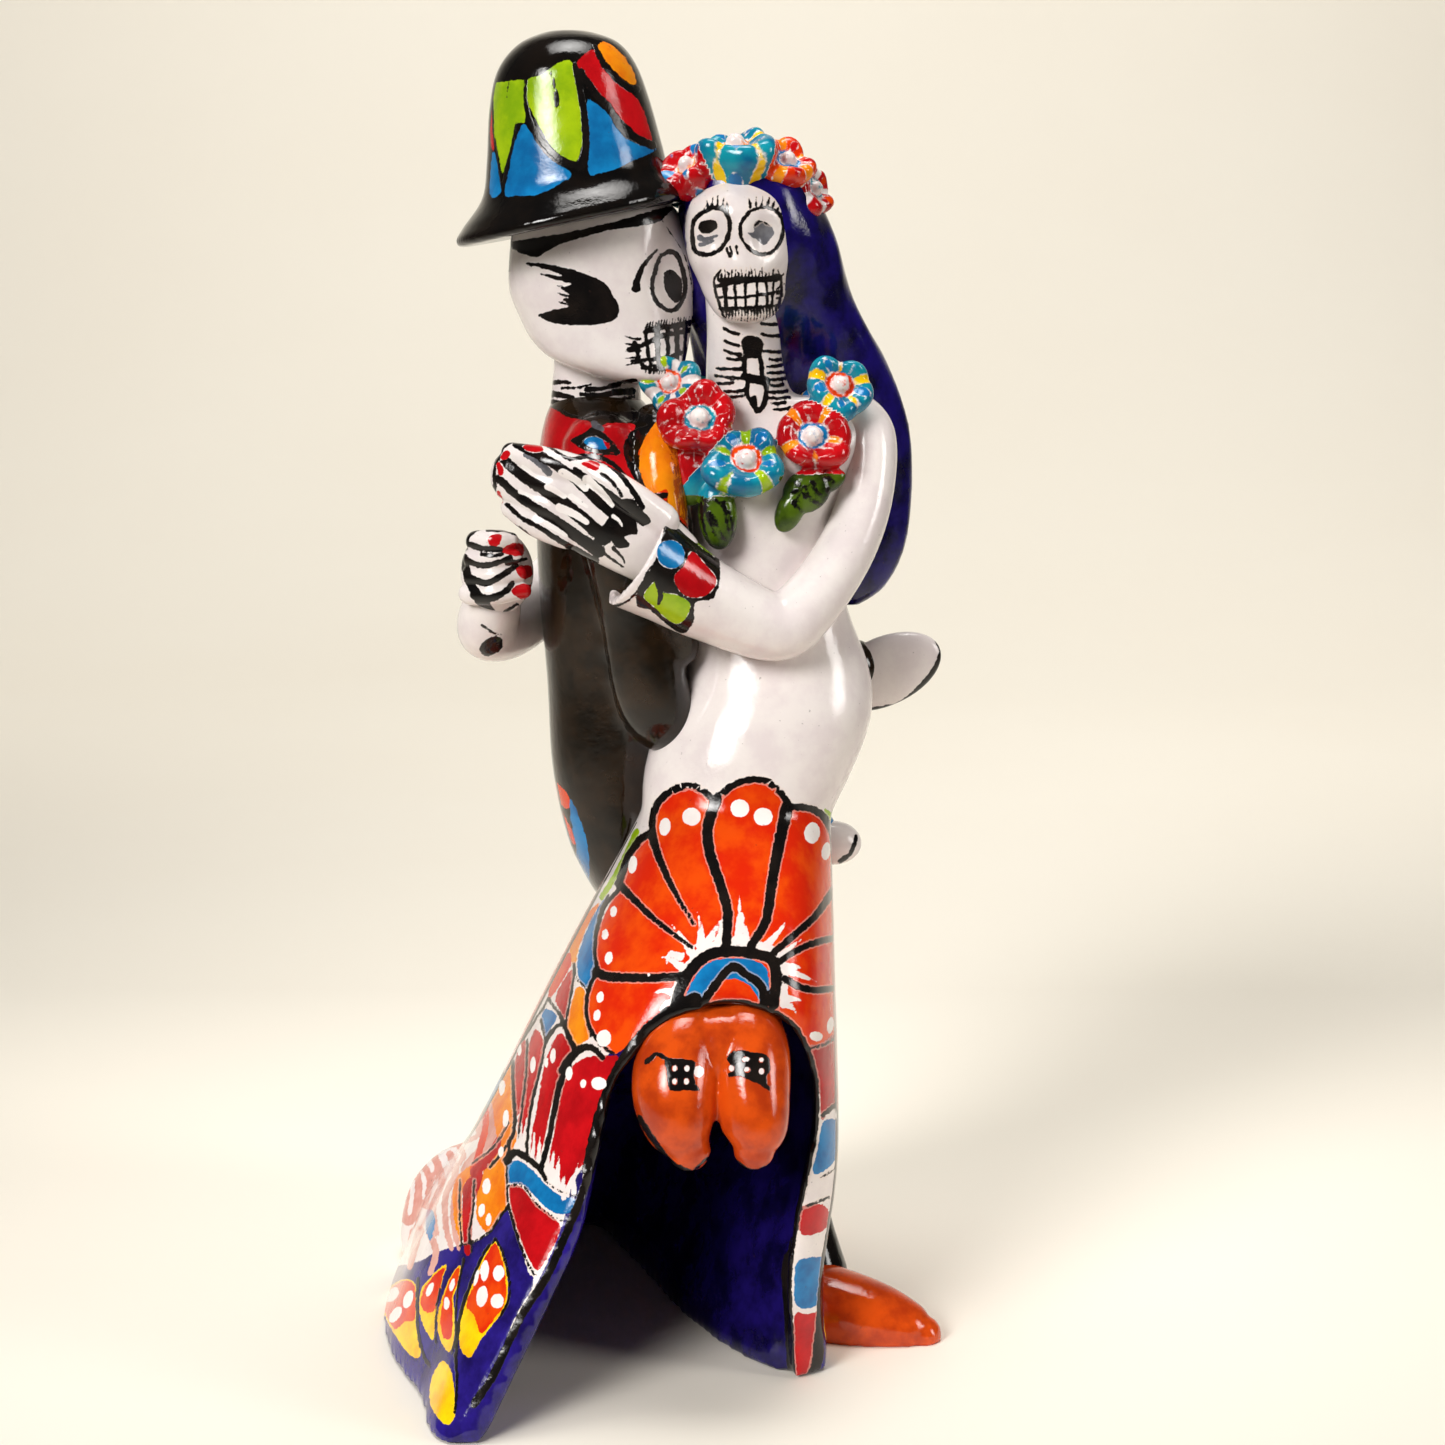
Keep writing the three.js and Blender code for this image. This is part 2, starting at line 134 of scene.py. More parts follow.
def flower(place, facing, radius, turn=0.0, seed=0):
    """A hand-pressed flower that faces a direction: five uneven round petals that dip towards a bead."""
    PROFILE = (
        (-1.0, 0.55), (-0.4, 0.86), (0.0, 1.0), (0.26, 0.96), (0.4, 0.8), (0.36, 0.6), (0.22, 0.4),
        (0.16, 0.05),
    )  # [height, radius] as shares of the flower's radius
    BEAD, PETALS = 0.25, 5
    rng = np.random.default_rng(seed + 5)
    a = np.linspace(0, 2 * math.pi, 90, endpoint=False)
    lobe = np.abs(np.cos(PETALS / 2 * (a - math.radians(turn)))) ** 0.7
    uneven = sum(rng.uniform(0.04, 0.09) * np.sin(k * a + rng.uniform(0, 6)) for k in (1, 2, 3))
    heave = sum(rng.uniform(0.05, 0.11) * np.sin(k * a + rng.uniform(0, 6)) for k in (1, 2, 4))
    rings = []
    for height, share in along(PROFILE, np.linspace(0, 1, 22)):
        r = share * (1 + min(1, share * 1.2) * (uneven - 0.11 * (1 - lobe)))
        z = height + share * (heave - (0.17 * (1 - lobe) if height > -0.2 else 0.0))
        rings.append(np.stack([r * np.cos(a), r * np.sin(a), z], -1) * radius)
    matrix = np.array(Vector((0, 0, 1)).rotation_difference(Vector(facing)).to_matrix())
    bead = egg((0, 0, 0.24 * radius), np.full(3, BEAD * radius), 0, 20)
    return [(p @ matrix.T + place, f) for p, f in (skin(rings), bead)]


def mesh_of(name, parts):
    """One mesh, in mm, of several closed bodies."""
    mesh = bpy.data.meshes.new(name)
    starts = np.cumsum([0] + [len(p) for p, f in parts])
    faces = np.vstack([np.asarray(f) + start for (p, f), start in zip(parts, starts)])
    mesh.from_pydata(np.vstack([p for p, f in parts]).tolist(), [], faces.tolist())
    return mesh


def scratch(mesh):
    obj = bpy.data.objects.new("scratch", mesh)
    bpy.context.scene.collection.objects.link(obj)
    return obj


def evaluated(obj):
    """The mesh of an object with its modifiers applied. The object goes."""
    mesh = bpy.data.meshes.new_from_object(obj.evaluated_get(bpy.context.evaluated_depsgraph_get()))
    bpy.data.objects.remove(obj)
    return mesh


def combined(mesh, other, operation="UNION"):
    """Two closed meshes joined, or the other one taken out of the first."""
    obj, second = scratch(mesh), scratch(other)
    boolean = obj.modifiers.new("join", "BOOLEAN")
    boolean.operation = operation
    boolean.object = second
    boolean.solver = "MANIFOLD"
    result = evaluated(obj)
    bpy.data.objects.remove(second)
    return result


# The spacing in mm of each form's points, and its rounds of smoothing
GRAIN = {
    "dress": (1.43, 4), "sleeves": (0.8, 3), "hands": (0.38, 5), "skull": (0.5, 3), "hair": (1.0, 4),
    "shoes": (0.5, 8), "flowers": (0.45, 3), "groom_skull": (0.62, 3), "groom_hat": (0.65, 3),
    "groom_coat": (1.0, 4), "groom_hands": (0.4, 2), "groom_legs": (1.1, 3), "groom_shoes": (0.6, 3),
}


class Clay:
    """A closed form in mm that can be smoothed, pushed about, refined and painted."""

    def __init__(self, mesh, grain):
        voxel, rounds = GRAIN[grain]
        obj = scratch(mesh)
        remesh = obj.modifiers.new("remesh", "REMESH")
        remesh.mode = "VOXEL"
        remesh.voxel_size = voxel
        self.take(evaluated(obj))
        self.smooth(rounds)

    def take(self, mesh):
        """Hold a new mesh, with its points and edges as arrays."""
        self.mesh = mesh
        self.co = np.empty((len(mesh.vertices), 3), np.float32)
        mesh.vertices.foreach_get("co", self.co.ravel())
        self.edges = np.empty((len(mesh.edges), 2), np.int32)
        mesh.edges.foreach_get("vertices", self.edges.ravel())

    def put(self):
        self.mesh.vertices.foreach_set("co", self.co.astype(np.float32).ravel())
        self.mesh.update()

    def smooth(self, rounds, where=None, hold=0.52):
        """Relax the surface. What it shrinks in one pass is held against in the next."""
        a, b = self.edges.T
        n = len(self.co)
        degree = np.maximum(np.bincount(a, minlength=n) + np.bincount(b, minlength=n), 1)
        weight = 1.0 if where is None else where[:, None]
        for r in range(2 * rounds):
            mean = np.empty_like(self.co)
            for k in range(3):
                total = np.bincount(a, self.co[b, k], n) + np.bincount(b, self.co[a, k], n)
                mean[:, k] = total / degree
            self.co += weight * (0.5 if r % 2 == 0 else -hold) * (mean - self.co)
        self.put()

    def normals(self):
        self.put()
        out = np.empty((len(self.co), 3), np.float32)
        self.mesh.vertex_normals.foreach_get("vector", out.ravel())
        return out

    def push(self, amount):
        """Move every point along its normal by an amount in mm."""
        self.co += self.normals() * np.asarray(amount)[:, None]
        self.put()

    def dent(self, centre, radii, depth):
        """Press a soft round hollow, or with a negative depth raise a swelling."""
        far = (((self.co - centre) / radii) ** 2).sum(1)
        self.push(-depth * np.exp(-far))

    def refine(self, where, rounds=3):
        """Halve the spacing of the points where a mask is true."""
        self.put()
        bm = bmesh.new()
        bm.from_mesh(self.mesh)
        bm.verts.ensure_lookup_table()
        edges = [e for e in bm.edges if where[e.verts[0].index] and where[e.verts[1].index]]
        bmesh.ops.subdivide_edges(bm, edges=edges, cuts=1, use_grid_fill=True)
        mesh = bpy.data.meshes.new("refined")
        bm.to_mesh(mesh)
        bm.free()
        old = len(where)
        self.take(mesh)
        grown = np.zeros(len(self.co), bool)
        grown[:old] = where
        grown[old:] = True
        self.smooth(rounds, grown.astype(np.float32))


def wobble(co, scale, seed=0.0):
    """A smooth uneven field from -1 to 1, with swells of about scale mm."""
    rng = np.random.default_rng(int(seed * 97) + 11)
    total = np.zeros(len(co))
    for _ in range(7):
        direction = rng.normal(size=3)
        direction *= rng.uniform(0.6, 1.4) / np.linalg.norm(direction)
        total += np.sin(co @ direction * (2 * math.pi / scale) + rng.uniform(0, 2 * math.pi))
    return total / 4.0


# Paint: distances in mm to drawn strokes and patches, positive inside

# Paints in the order in which they lie over each other
# deep is the skirt's inside: its cobalt painted darker, as painted shade in the hollow
LAYERS = (
    "deep", "cobalt", "pink", "lime", "leaf", "yellow", "amber", "brown", "orange", "blue", "teal", "red",
    "white",
    "grey", "ink", "dot",
)
FAR = -3.0  # what a paint holds where it is absent

# Windows of the photograph, enlarged, in which the paint is placed, as [left, top, scale]
FLOWER_WINDOW = (540, 760, 3.564)  # the flower over the open front
FIELDS_WINDOW = (480, 840, 4.36)  # the fields left of it
LOBE_WINDOW = (380, 1000, 3)  # the fold at the back left
TRAIN_WINDOW = (360, 1080, 4.297)  # the train
STRIP_WINDOW = (580, 980, 3.734)  # the skirt's right side
CHEST_WINDOW = (620, 340, 5.23)  # the bride's neck and chest
HANDS_WINDOW = (450, 420, 3.431)  # her hands
NECK_WINDOW = (440, 380, 4.9)  # the groom's neck, down to her elbow
FACES_WINDOW = (640, 100, 5.6)  # her face and his teeth
HEAD_WINDOW = (420, 0, 4.61)  # his head and hat
COAT_WINDOW = (520, 560, 3.56)  # his coat and hands
LEAVES_WINDOW = (625, 335, 5)  # the leaves at the collar
SHOES_WINDOW = (600, 960, 3.5417)  # her shoes


def photo_px(co):
    """Where points in mm are seen in the photograph, in its pixels, and how far away they are."""
    d = np.asarray(co, float) - EYE
    depth = d[:, 1] * math.cos(PITCH) - d[:, 2] * math.sin(PITCH)
    rise = d[:, 1] * math.sin(PITCH) + d[:, 2] * math.cos(PITCH)
    u = PHOTO_SIZE / 2 + FOCAL_PX * d[:, 0] / depth
    v = PHOTO_SIZE / 2 - FOCAL_PX * rise / depth
    return np.stack([u, v], -1), depth


def curve(points, closed=False, fine=5):
    """A smooth line through given points."""
    p = np.asarray(points, float)
    if closed:
        p = np.vstack([p, p[:1]])
        padded = np.vstack([p[-2], p, p[1]])
    else:
        padded = np.vstack([2 * p[0] - p[1], p, 2 * p[-1] - p[-2]])
    out = []
    for i in range(len(p) - 1):
        a, b, c, d = padded[i:i + 4]
        for s in np.arange(fine) / fine:
            out.append(b + 0.5 * s * (c - a + s * (2 * a - 5 * b + 4 * c - d + s * (3 * (b - c) + d - a))))
    out.append(p[-1])
    return np.array(out)


class Canvas:
    """A flat picture in which one side of a form is painted.

    It has the 2-D places of the side's points, in units of some mm each.
    """

    def __init__(self, piece, index, places, unit, bold=1.0):
        self.piece = piece
        self.index = index
        self.places = places
        self.unit = unit
        self.bold = bold

    def zoom(self, left, top, scale, bold=1.0):
        """The picture enlarged in a window with this corner. Bold makes its strokes that much wider."""
        return Canvas(self.piece, self.index, (self.places - (left, top)) * scale, self.unit / scale, bold)

    def lay(self, paint, line, reach, inside_of):
        """Add to a paint what a function of places says, near a line."""
        margin = reach + 3 / self.unit
        low, high = line.min(0) - margin, line.max(0) + margin
        near = np.nonzero(((self.places > low) & (self.places < high)).all(1))[0]
        if len(near) == 0:
            return
        layer = self.piece.paint.setdefault(paint, np.full(len(self.piece.clay.co), FAR, np.float32))
        i = self.index[near]
        layer[i] = np.maximum(layer[i], inside_of(self.places[near]) * self.unit)

    def stroke(self, paint, width, end, *points):
        """A brush stroke through points, whose width runs to another one at its end."""
        line = curve(points)
        widths = np.linspace(width, end, len(line)) / 2 * self.bold

        def inside_of(p):
            best = np.full(len(p), -1e9)
            for a, b, wa, wb in zip(line[:-1], line[1:], widths[:-1], widths[1:]):
                d = b - a
                t = np.clip(((p - a) @ d) / max(d @ d, 1e-9), 0, 1)
                away = np.linalg.norm(p - a - t[:, None] * d, axis=1)
                best = np.maximum(best, wa + t * (wb - wa) - away)
            return best

        self.lay(paint, line, max(width, end), inside_of)

    def strokes(self, paint, *rows):
        """Several strokes in one paint, as [width, width at the end, points...]."""
        for width, end, *points in rows:
            self.stroke(paint, width, end, *points)

    def band(self, paint, low, high):
        """A level band between two heights, with uneven edges."""
        x, z = self.places.T
        layer = self.piece.paint.setdefault(paint, np.full(len(self.piece.clay.co), FAR, np.float32))
        wave = 0.3 * np.sin(x / 3.1) + 0.3 * np.sin(x / 7.3 + 2)
        layer[self.index] = np.maximum(
            layer[self.index], np.clip(np.minimum(z - low, high - z) + wave, FAR, -FAR),
        )

    def patch(self, paint, *points):
        """A filled shape inside a smooth closed outline."""
        line = curve(points, closed=True)

        def inside_of(p):
            away = np.full(len(p), 1e9)
            inside = np.zeros(len(p), bool)
            for a, b in zip(line[:-1], line[1:]):
                d = b - a
                t = np.clip(((p - a) @ d) / max(d @ d, 1e-9), 0, 1)
                away = np.minimum(away, np.linalg.norm(p - a - t[:, None] * d, axis=1))
                crosses = (a[1] > p[:, 1]) != (b[1] > p[:, 1])
                inside ^= crosses & (p[:, 0] < a[0] + (p[:, 1] - a[1]) / (d[1] or 1e-9) * d[0])
            return np.where(inside, away, -away)

        self.lay(paint, line, 0, inside_of)

    def patches(self, paint, *outlines):
        for outline in outlines:
            self.patch(paint, *outline)

    def dab(self, paint, centre, radii, turn=0.0):
        """A round or oval touch of the brush."""
        a = np.linspace(0, 2 * math.pi, 12, endpoint=False)
        x, y = radii[0] * np.cos(a), radii[1] * np.sin(a)
        c, s = math.cos(math.radians(turn)), math.sin(math.radians(turn))
        self.patch(paint, *(np.stack([x * c - y * s, x * s + y * c], -1) + centre))

    def wipe(self, paints, *points):
        """Take paints off inside a closed outline."""
        self.patch("wiped", *points)
        wiped = self.piece.paint.pop("wiped", None)
        if wiped is not None:
            for paint in paints:
                if paint in self.piece.paint:
                    self.piece.paint[paint] = np.minimum(self.piece.paint[paint], -wiped)


class Piece:
    """One visible piece of the figurine, with its clay form and its paint."""

    def __init__(self, name, clay, base="bare", soft=0.08):
        self.name = name
        self.clay = clay
        self.base = base
        self.soft = soft  # how far in mm its paints run into each other
        self.paint = {}

    def front(self, mask=None, least=-0.15):
        """The side that the photograph sees, painted in its pixels."""
        places, depth = photo_px(self.clay.co)
        seen = facing(self.clay) > least
        if mask is not None:
            seen &= mask
        index = np.nonzero(seen)[0]
        return Canvas(self, index, places[index], float(np.median(depth[index])) / FOCAL_PX)

    def halves(self, middle, radius, right, left, mask=True):
        """The front's canvas and an unrolled one behind it, which meet at two painted lines.

        The unrolled one goes round an upright line, from the photograph's side over +X, in mm at a radius.
        The lines are given there, upwards.
        """
        x, y, z = self.clay.co.T
        angle = np.arctan2(y - middle[1], x - middle[0]) + math.pi / 2
        places = np.column_stack([np.mod(angle, 2 * math.pi) * radius, z])
        start, end = (np.interp(z, *np.array(line).T[::-1]) for line in (right, left))
        top = right[-1][1]
        behind = (places[:, 0] > start) & (places[:, 0] < end) & (z < top) & mask
        edges = self.side(mask & (z < top), places)
        for line in (right, left):
            edges.stroke("ink", 2.2, 2.0, *line)
        return self.front(mask & ~behind, least=-0.4), self.side(behind, places)

    def side(self, mask, places):
        """Another side, painted in places that are in mm."""
        index = np.nonzero(mask)[0]
        return Canvas(self, index, places[index], 1.0)

    def finish(self):
        """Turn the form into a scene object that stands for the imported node."""
        clay = self.clay
        clay.co = (clay.co - FOOTPRINT_MIDDLE) * MM
        clay.put()
        mesh = clay.mesh
        mesh.name = self.name
        for paint, field in self.paint.items():
            layer = mesh.attributes.new(paint, "FLOAT", "POINT")
            layer.data.foreach_set("value", np.clip(field, FAR, -FAR).astype(np.float32))
        mesh.polygons.foreach_set("use_smooth", np.ones(len(mesh.polygons), bool))
        mesh.materials.clear()
        mesh.materials.append(
            glaze(self.name + "_glaze", self.base, [k for k in LAYERS if k in self.paint], self.soft),
        )
        obj = bpy.data.objects.new(self.name, mesh)
        bpy.context.scene.collection.objects.link(obj)
        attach(obj, "root")
        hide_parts(NODE)


def facing(clay):
    """How squarely each point of a form looks at the photograph's camera, from -1 to 1."""
    view = EYE - clay.co
    return (clay.normals() * view).sum(1) / np.linalg.norm(view, axis=1)


# Materials

def srgb(r, g, b):
    def linear(c):
        c /= 255
        return c / 12.92 if c <= 0.04045 else ((c + 0.055) / 1.055) ** 2.4
    return (linear(r), linear(g), linear(b), 1.0)


# Two shades of every paint, between which the brush wanders
SHADES = {
    "bare": (srgb(240, 232, 228), srgb(230, 219, 218)),
    "night": (srgb(26, 14, 104), srgb(8, 5, 44)),
    "black": (srgb(9, 8, 8), srgb(20, 15, 12)),
    # the coat: partly its own thin brown-black glaze, partly a painted warm reflection
    "coat": (srgb(18, 12, 6), srgb(42, 28, 14)),
    "shoe": (srgb(214, 78, 16), srgb(170, 52, 12)),
    # the skirt's inside cobalt, painted darker as the shade in its hollow
    "deep": (srgb(28, 17, 96), srgb(10, 6, 44)),
    "cobalt": (srgb(42, 28, 130), srgb(24, 13, 80)),
    "pink": (srgb(226, 172, 160), srgb(206, 136, 124)),
    "lime": (srgb(168, 198, 20), srgb(128, 168, 16)),
    "leaf": (srgb(78, 104, 18), srgb(24, 38, 8)),
    "yellow": (srgb(255, 214, 10), srgb(246, 176, 10)),
    "amber": (srgb(246, 150, 16), srgb(232, 112, 14)),
    "brown": (srgb(196, 88, 20), srgb(150, 60, 20)),
    "orange": (srgb(216, 38, 6), srgb(232, 76, 8)),
    "red": (srgb(200, 16, 24), srgb(168, 10, 18)),
    "blue": (srgb(20, 128, 190), srgb(14, 96, 156)),
    "teal": (srgb(20, 150, 168), srgb(12, 96, 140)),
    "white": (srgb(240, 232, 228), srgb(230, 219, 218)),
    "grey": (srgb(130, 130, 136), srgb(70, 70, 76)),
    "ink": (srgb(14, 12, 12), srgb(30, 24, 21)),
    "dot": (srgb(252, 248, 244), srgb(244, 234, 230)),
}


class Nodes:
    """Short names for the shader nodes that the glazes use."""

    def __init__(self, name):
        self.material = bpy.data.materials.new(name)
        self.material.use_nodes = True
        self.tree = self.material.node_tree
        self.tree.nodes.clear()
        self.place = self.add("ShaderNodeTexCoord").outputs["Object"]

    def add(self, kind, **values):
        node = self.tree.nodes.new(kind)
        for key, value in values.items():
            setattr(node, key, value)
        return node

    def link(self, source, target):
        if isinstance(source, (int, float, tuple)):
            target.default_value = source
        else:
            self.tree.links.new(source, target)

    def noise(self, per_mm, detail=3.0, rough=0.55):
        node = self.add("ShaderNodeTexNoise")
        node.inputs["Scale"].default_value = per_mm / MM
        node.inputs["Detail"].default_value = detail
        node.inputs["Roughness"].default_value = rough
        self.link(self.place, node.inputs["Vector"])
        return node.outputs["Fac"]

    def math(self, operation, a, b):
        node = self.add("ShaderNodeMath", operation=operation)
        self.link(a, node.inputs[0])
        self.link(b, node.inputs[1])
        return node.outputs[0]

    def step(self, value, low, high, to=(0.0, 1.0)):
        node = self.add("ShaderNodeMapRange", interpolation_type="SMOOTHSTEP")
        self.link(value, node.inputs["Value"])
        for socket, number in zip(("From Min", "From Max", "To Min", "To Max"), (low, high, *to)):
            node.inputs[socket].default_value = number
        return node.outputs["Result"]

    def mix(self, factor, a, b):
        node = self.add("ShaderNodeMix", data_type="RGBA")
        self.link(factor, node.inputs[0])
        self.link(a, node.inputs[6])
        self.link(b, node.inputs[7])
        return node.outputs[2]

    def attribute(self, name):
        return self.add("ShaderNodeAttribute", attribute_name=name).outputs["Fac"]


# How far in mm the uneven edge of a brush mark wanders: a dot's, one in crisp paint, one in paint that runs
DOT_WANDER, CRISP_WANDER, SOFT_WANDER = 0.5, 0.9, 2.2
CRISP = 0.2  # paints run into each other less than this, in mm, where they are crisp
CLEAR_GLAZE_IOR = 1.46
BARE_RING = 0.3  # how much of the ground shows through beside a black line


def glaze(name, base, paints, soft):
    """A clear glaze over a painted ground. The paints lie over each other in the order given."""
    n = Nodes(name)
    ragged = n.math("SUBTRACT", n.noise(0.7, 3.0, 0.65), 0.5)  # the uneven edges of the brush marks
    tone = n.step(n.noise(0.12, 4.0, 0.6), 0.35, 0.68)  # where the paint lies thin and thick
    colour = n.mix(tone, *SHADES[base])
    inked = None
    pale = BARE_RING
    for paint in paints:
        wander = DOT_WANDER if paint == "dot" else CRISP_WANDER if soft < CRISP else SOFT_WANDER
        edge = n.math("ADD", n.attribute(paint), n.math("MULTIPLY", ragged, wander))
        inside = n.step(edge, -soft, soft)
        if paint == "ink":
            inked = inside
            if "cobalt" in paints:
                ring = n.math("MULTIPLY", n.step(edge, -0.34, -0.2), pale)
                colour = n.mix(ring, colour, srgb(240, 220, 204))
        colour = n.mix(inside, colour, n.mix(tone, *SHADES[paint]))
        if paint in ("deep", "cobalt"):
            pale = n.math("MULTIPLY", n.math("SUBTRACT", 1.0, inside), pale)
    specks = n.math("MULTIPLY", n.step(n.noise(1.1, 2.0, 0.5), 0.735, 0.76), 0.35)
    colour = n.mix(specks, colour, srgb(60, 40, 34))
    shader = n.add("ShaderNodeBsdfPrincipled")
    n.link(colour, shader.inputs["Base Color"])
    n.link(n.step(n.noise(0.25, 3.0), 0.3, 0.7, (0.07, 0.13)), shader.inputs["Roughness"])
    shader.inputs["IOR"].default_value = CLEAR_GLAZE_IOR
    bump = n.add("ShaderNodeBump")
    bump.inputs["Strength"].default_value = 0.35
    bump.inputs["Distance"].default_value = 0.25 * MM
    height = n.noise(0.35, 4.0, 0.6)
    if inked is not None:
        height = n.math("ADD", height, n.math("MULTIPLY", inked, 0.5))
    n.link(height, bump.inputs["Height"])
    n.link(bump.outputs["Normal"], shader.inputs["Normal"])
    out = n.add("ShaderNodeOutputMaterial")
    n.link(shader.outputs["BSDF"], out.inputs["Surface"])
    return n.material


# The skirt and the bride's body

OUTER_HEIGHTS = (0, 22, 50, 90, 130)
OUTER_LINES = (
    ((19, -33), (17, -36), (20, -38), (18, -40), (14, -12.5)),
    ((22.5, -25), (22, -24), (25.5, -20), (24.5, -16), (23, -3.5)),
    ((10, -6), (13, -4), (20, 3), (23, 9), (22, 6.5)), ((-5, 25), (0, 26), (8, 26), (14, 24), (12.5, 11.5)),
    ((-18, 55), (-13, 52), (-5, 43), (2, 31), (5.5, 13.5)),
    ((-34, 68), (-29, 61), (-18, 48), (-9, 31), (-1, 13)),
    ((-57, 60), (-51, 54), (-35, 43), (-20, 27), (-6, 10.5)),
    ((-76, 40), (-68, 37), (-48, 30), (-29.5, 19), (-10, 7)),
    ((-79.5, 10), (-69, 11), (-54, 10), (-34, 6), (-12.5, 2)),
    ((-75.5, -18), (-68, -17), (-52.5, -13), (-33, -9), (-12.5, -4)),
    ((-66, -43), (-58, -41), (-44, -36), (-28, -28), (-9.5, -10)),
    ((-56, -68), (-43, -62), (-30, -54), (-16, -44), (-4, -14)),
    ((-18, -54), (-13, -51), (-6, -48), (2, -46), (4.5, -15.5)),
)
HOLLOW_HEIGHTS = (-3, 22, 50, 78, 100)
HOLLOW_LINES = (
    ((14.5, -33), (14.8, -32), (18, -33), (17, -32), (11, -25)),
    ((8, -29), (12, -24), (18.5, -18), (19.5, -13), (16, -8)),
    ((-3.5, -13), (3, -8), (12, 2), (15, 6), (14, 6)), ((-13, 7), (-6, 14), (2, 21), (7, 22), (8, 16)),
    ((-24, 38), (-19, 38), (-10, 36), (-2, 29), (1, 21)),
    ((-37, 61), (-32, 54), (-20, 41), (-11, 31), (-5, 21)),
    ((-67, 37), (-60, 33), (-42, 25), (-27, 20), (-16, 14)),
    ((-72, 4), (-61, 6), (-47, 5), (-33, 4), (-22, 3)),
    ((-60, -40), (-52, -37), (-39, -32), (-27, -26), (-17, -18)),
    ((-20, -50), (-15, -47), (-8, -43), (-3, -38), (-2, -28)),
)
ARCH = (
    (-52, -5), (-44, 11), (-36.5, 26), (-29.5, 41), (-25.5, 58), (-21.5, 73), (-10, 85), (3, 87.5),
    (13.5, 83), (18.5, 72), (19, 58), (15.8, 41), (14, 26), (14.5, 12), (15.5, -5),
)
ARCH_FRONT, ARCH_BACK = -90.0, -30.5
SKIRT_SIDES = 156  # points round each ring of the skirt
WALL_REACH = 1.4  # how far in mm the skirt's smoothed surface may lie inside its walls


def closed_outline(corners, sides):
    """A smooth closed line through corners, cut into equal shares of its parameter."""
    corners = np.asarray(corners, float)
    n = len(corners)
    place = np.arange(sides) / sides * n
    i = place.astype(int)
    s = (place - i)[:, None]
    a, b, c, d = (corners[(i + k) % n] for k in (-1, 0, 1, 2))
    return b + 0.5 * s * (c - a + s * (2 * a - 5 * b + 4 * c - d + s * (3 * (b - c) + d - a)))


def draped(lines, heights, sides=SKIRT_SIDES, steps=60):
    """A closed body through lines that run down it, smooth both ways."""
    t = np.linspace(0, 1, steps + 1)
    z = along([[h] for h in heights], t)[:, 0]
    corners = np.stack([along(line, t) for line in lines], 1)
    rings = []
    for level, height in zip(corners, z):
        outline = closed_outline(level, sides)
        rings.append(np.column_stack([outline, np.full(sides, height)]))
    return skin(rings)


def arch_cutter():
    """A prism through the open front."""
    line = curve(ARCH, fine=8)
    front = np.column_stack([line[:, 0], np.full(len(line), ARCH_FRONT), line[:, 1]])
    back = front.copy()
    back[:, 1] = ARCH_BACK
    return skin([front, back])


def floor_block():
    """What lies under the table's surface."""
    REACH = 200
    corners = np.array([(-1, -1), (1, -1), (1, 1), (-1, 1)]) * REACH
    return skin([np.column_stack([corners, np.full(4, z)]) for z in (-REACH, 0)])


def dress():
    bodice = column([
        (110, 3, 0, 17, 15), (121, 3.5, -1, 21.3, 19.3), (132, 6.5, 0, 23.5, 19.5), (143, 10.5, 1, 22.8, 18),
        (153, 12, 2, 20.3, 15), (165, 10.5, 2, 17.3, 12), (177, 9.5, 1, 15.8, 11), (190, 9.5, 0, 17, 12),
        (200, 10.5, 1, 21, 11.5), (207, 11, 3, 21.5, 9.5), (212, 9, 3, 15, 7.5),
    ])
    neck = limb([(7, 4, 203, 11), (5, 4, 216, 8.8), (4.5, 3, 226, 8), (4, 3, 236, 8)])
    fold = limb(
        [(-66, 42, -8, 13), (-66, 43, 4, 13.5), (-64.5, 42, 14, 12.5), (-60, 38, 22, 8.5), (-50, 32, 29, 3)],
    )
    body = mesh_of("skirt", [draped(OUTER_LINES, OUTER_HEIGHTS)])
    for part in (bodice, neck, fold):
        body = combined(body, mesh_of("part", [part]))
    for hole in (draped(HOLLOW_LINES, HOLLOW_HEIGHTS, 120, 40), arch_cutter(), floor_block()):
        body = combined(body, mesh_of("hole", [hole]), "DIFFERENCE")
    return Clay(body, "dress")


def outside_of_skirt(clay):
    """Which points lie on the skirt's outer surface, and not inside or underneath."""
    points, faces = draped(OUTER_LINES, OUTER_HEIGHTS)
    walls = faces[:-2 * SKIRT_SIDES]  # without the caps
    tree = BVHTree.FromPolygons([Vector(p) for p in points], walls)
    co, normals = clay.co, clay.normals()
    out = np.ones(len(co), bool)
    for i in np.nonzero(co[:, 2] < 110)[0]:
        place, way, _, distance = tree.find_nearest(Vector(co[i]))
        way = np.array(way)
        outwards = normals[i] @ way > -0.2
        out[i] = distance < WALL_REACH and outwards or (co[i] - np.array(place)) @ way > 0
    return out


# The skirt's outside unrolled: the line it goes round, as [height, place along X], the radius in mm, and
# where the painting of the front ends, as [place, height]
SKIRT_AXIS = ((0, -25), (30, -18), (60, -10), (90, -3), (130, 3))
SKIRT_UNROLLED = 35
SKIRT_RIGHT = ((34, -10), (33, 20), (32, 50), (30.5, 70), (35, 90), (43.5, 110), (46, 118))
SKIRT_LEFT = ((121, -10), (122, 18), (128, 27), (148, 36), (164, 46), (167, 70), (169, 110), (170, 118))


def rim_distance(co):
    """How far points lie from the edge of the open front, as seen along Y."""
    line = curve(ARCH, fine=4)
    best = np.full(len(co), 1e9)
    for x, z in line:
        best = np.minimum(best, np.hypot(co[:, 0] - x, co[:, 2] - z))
    return best


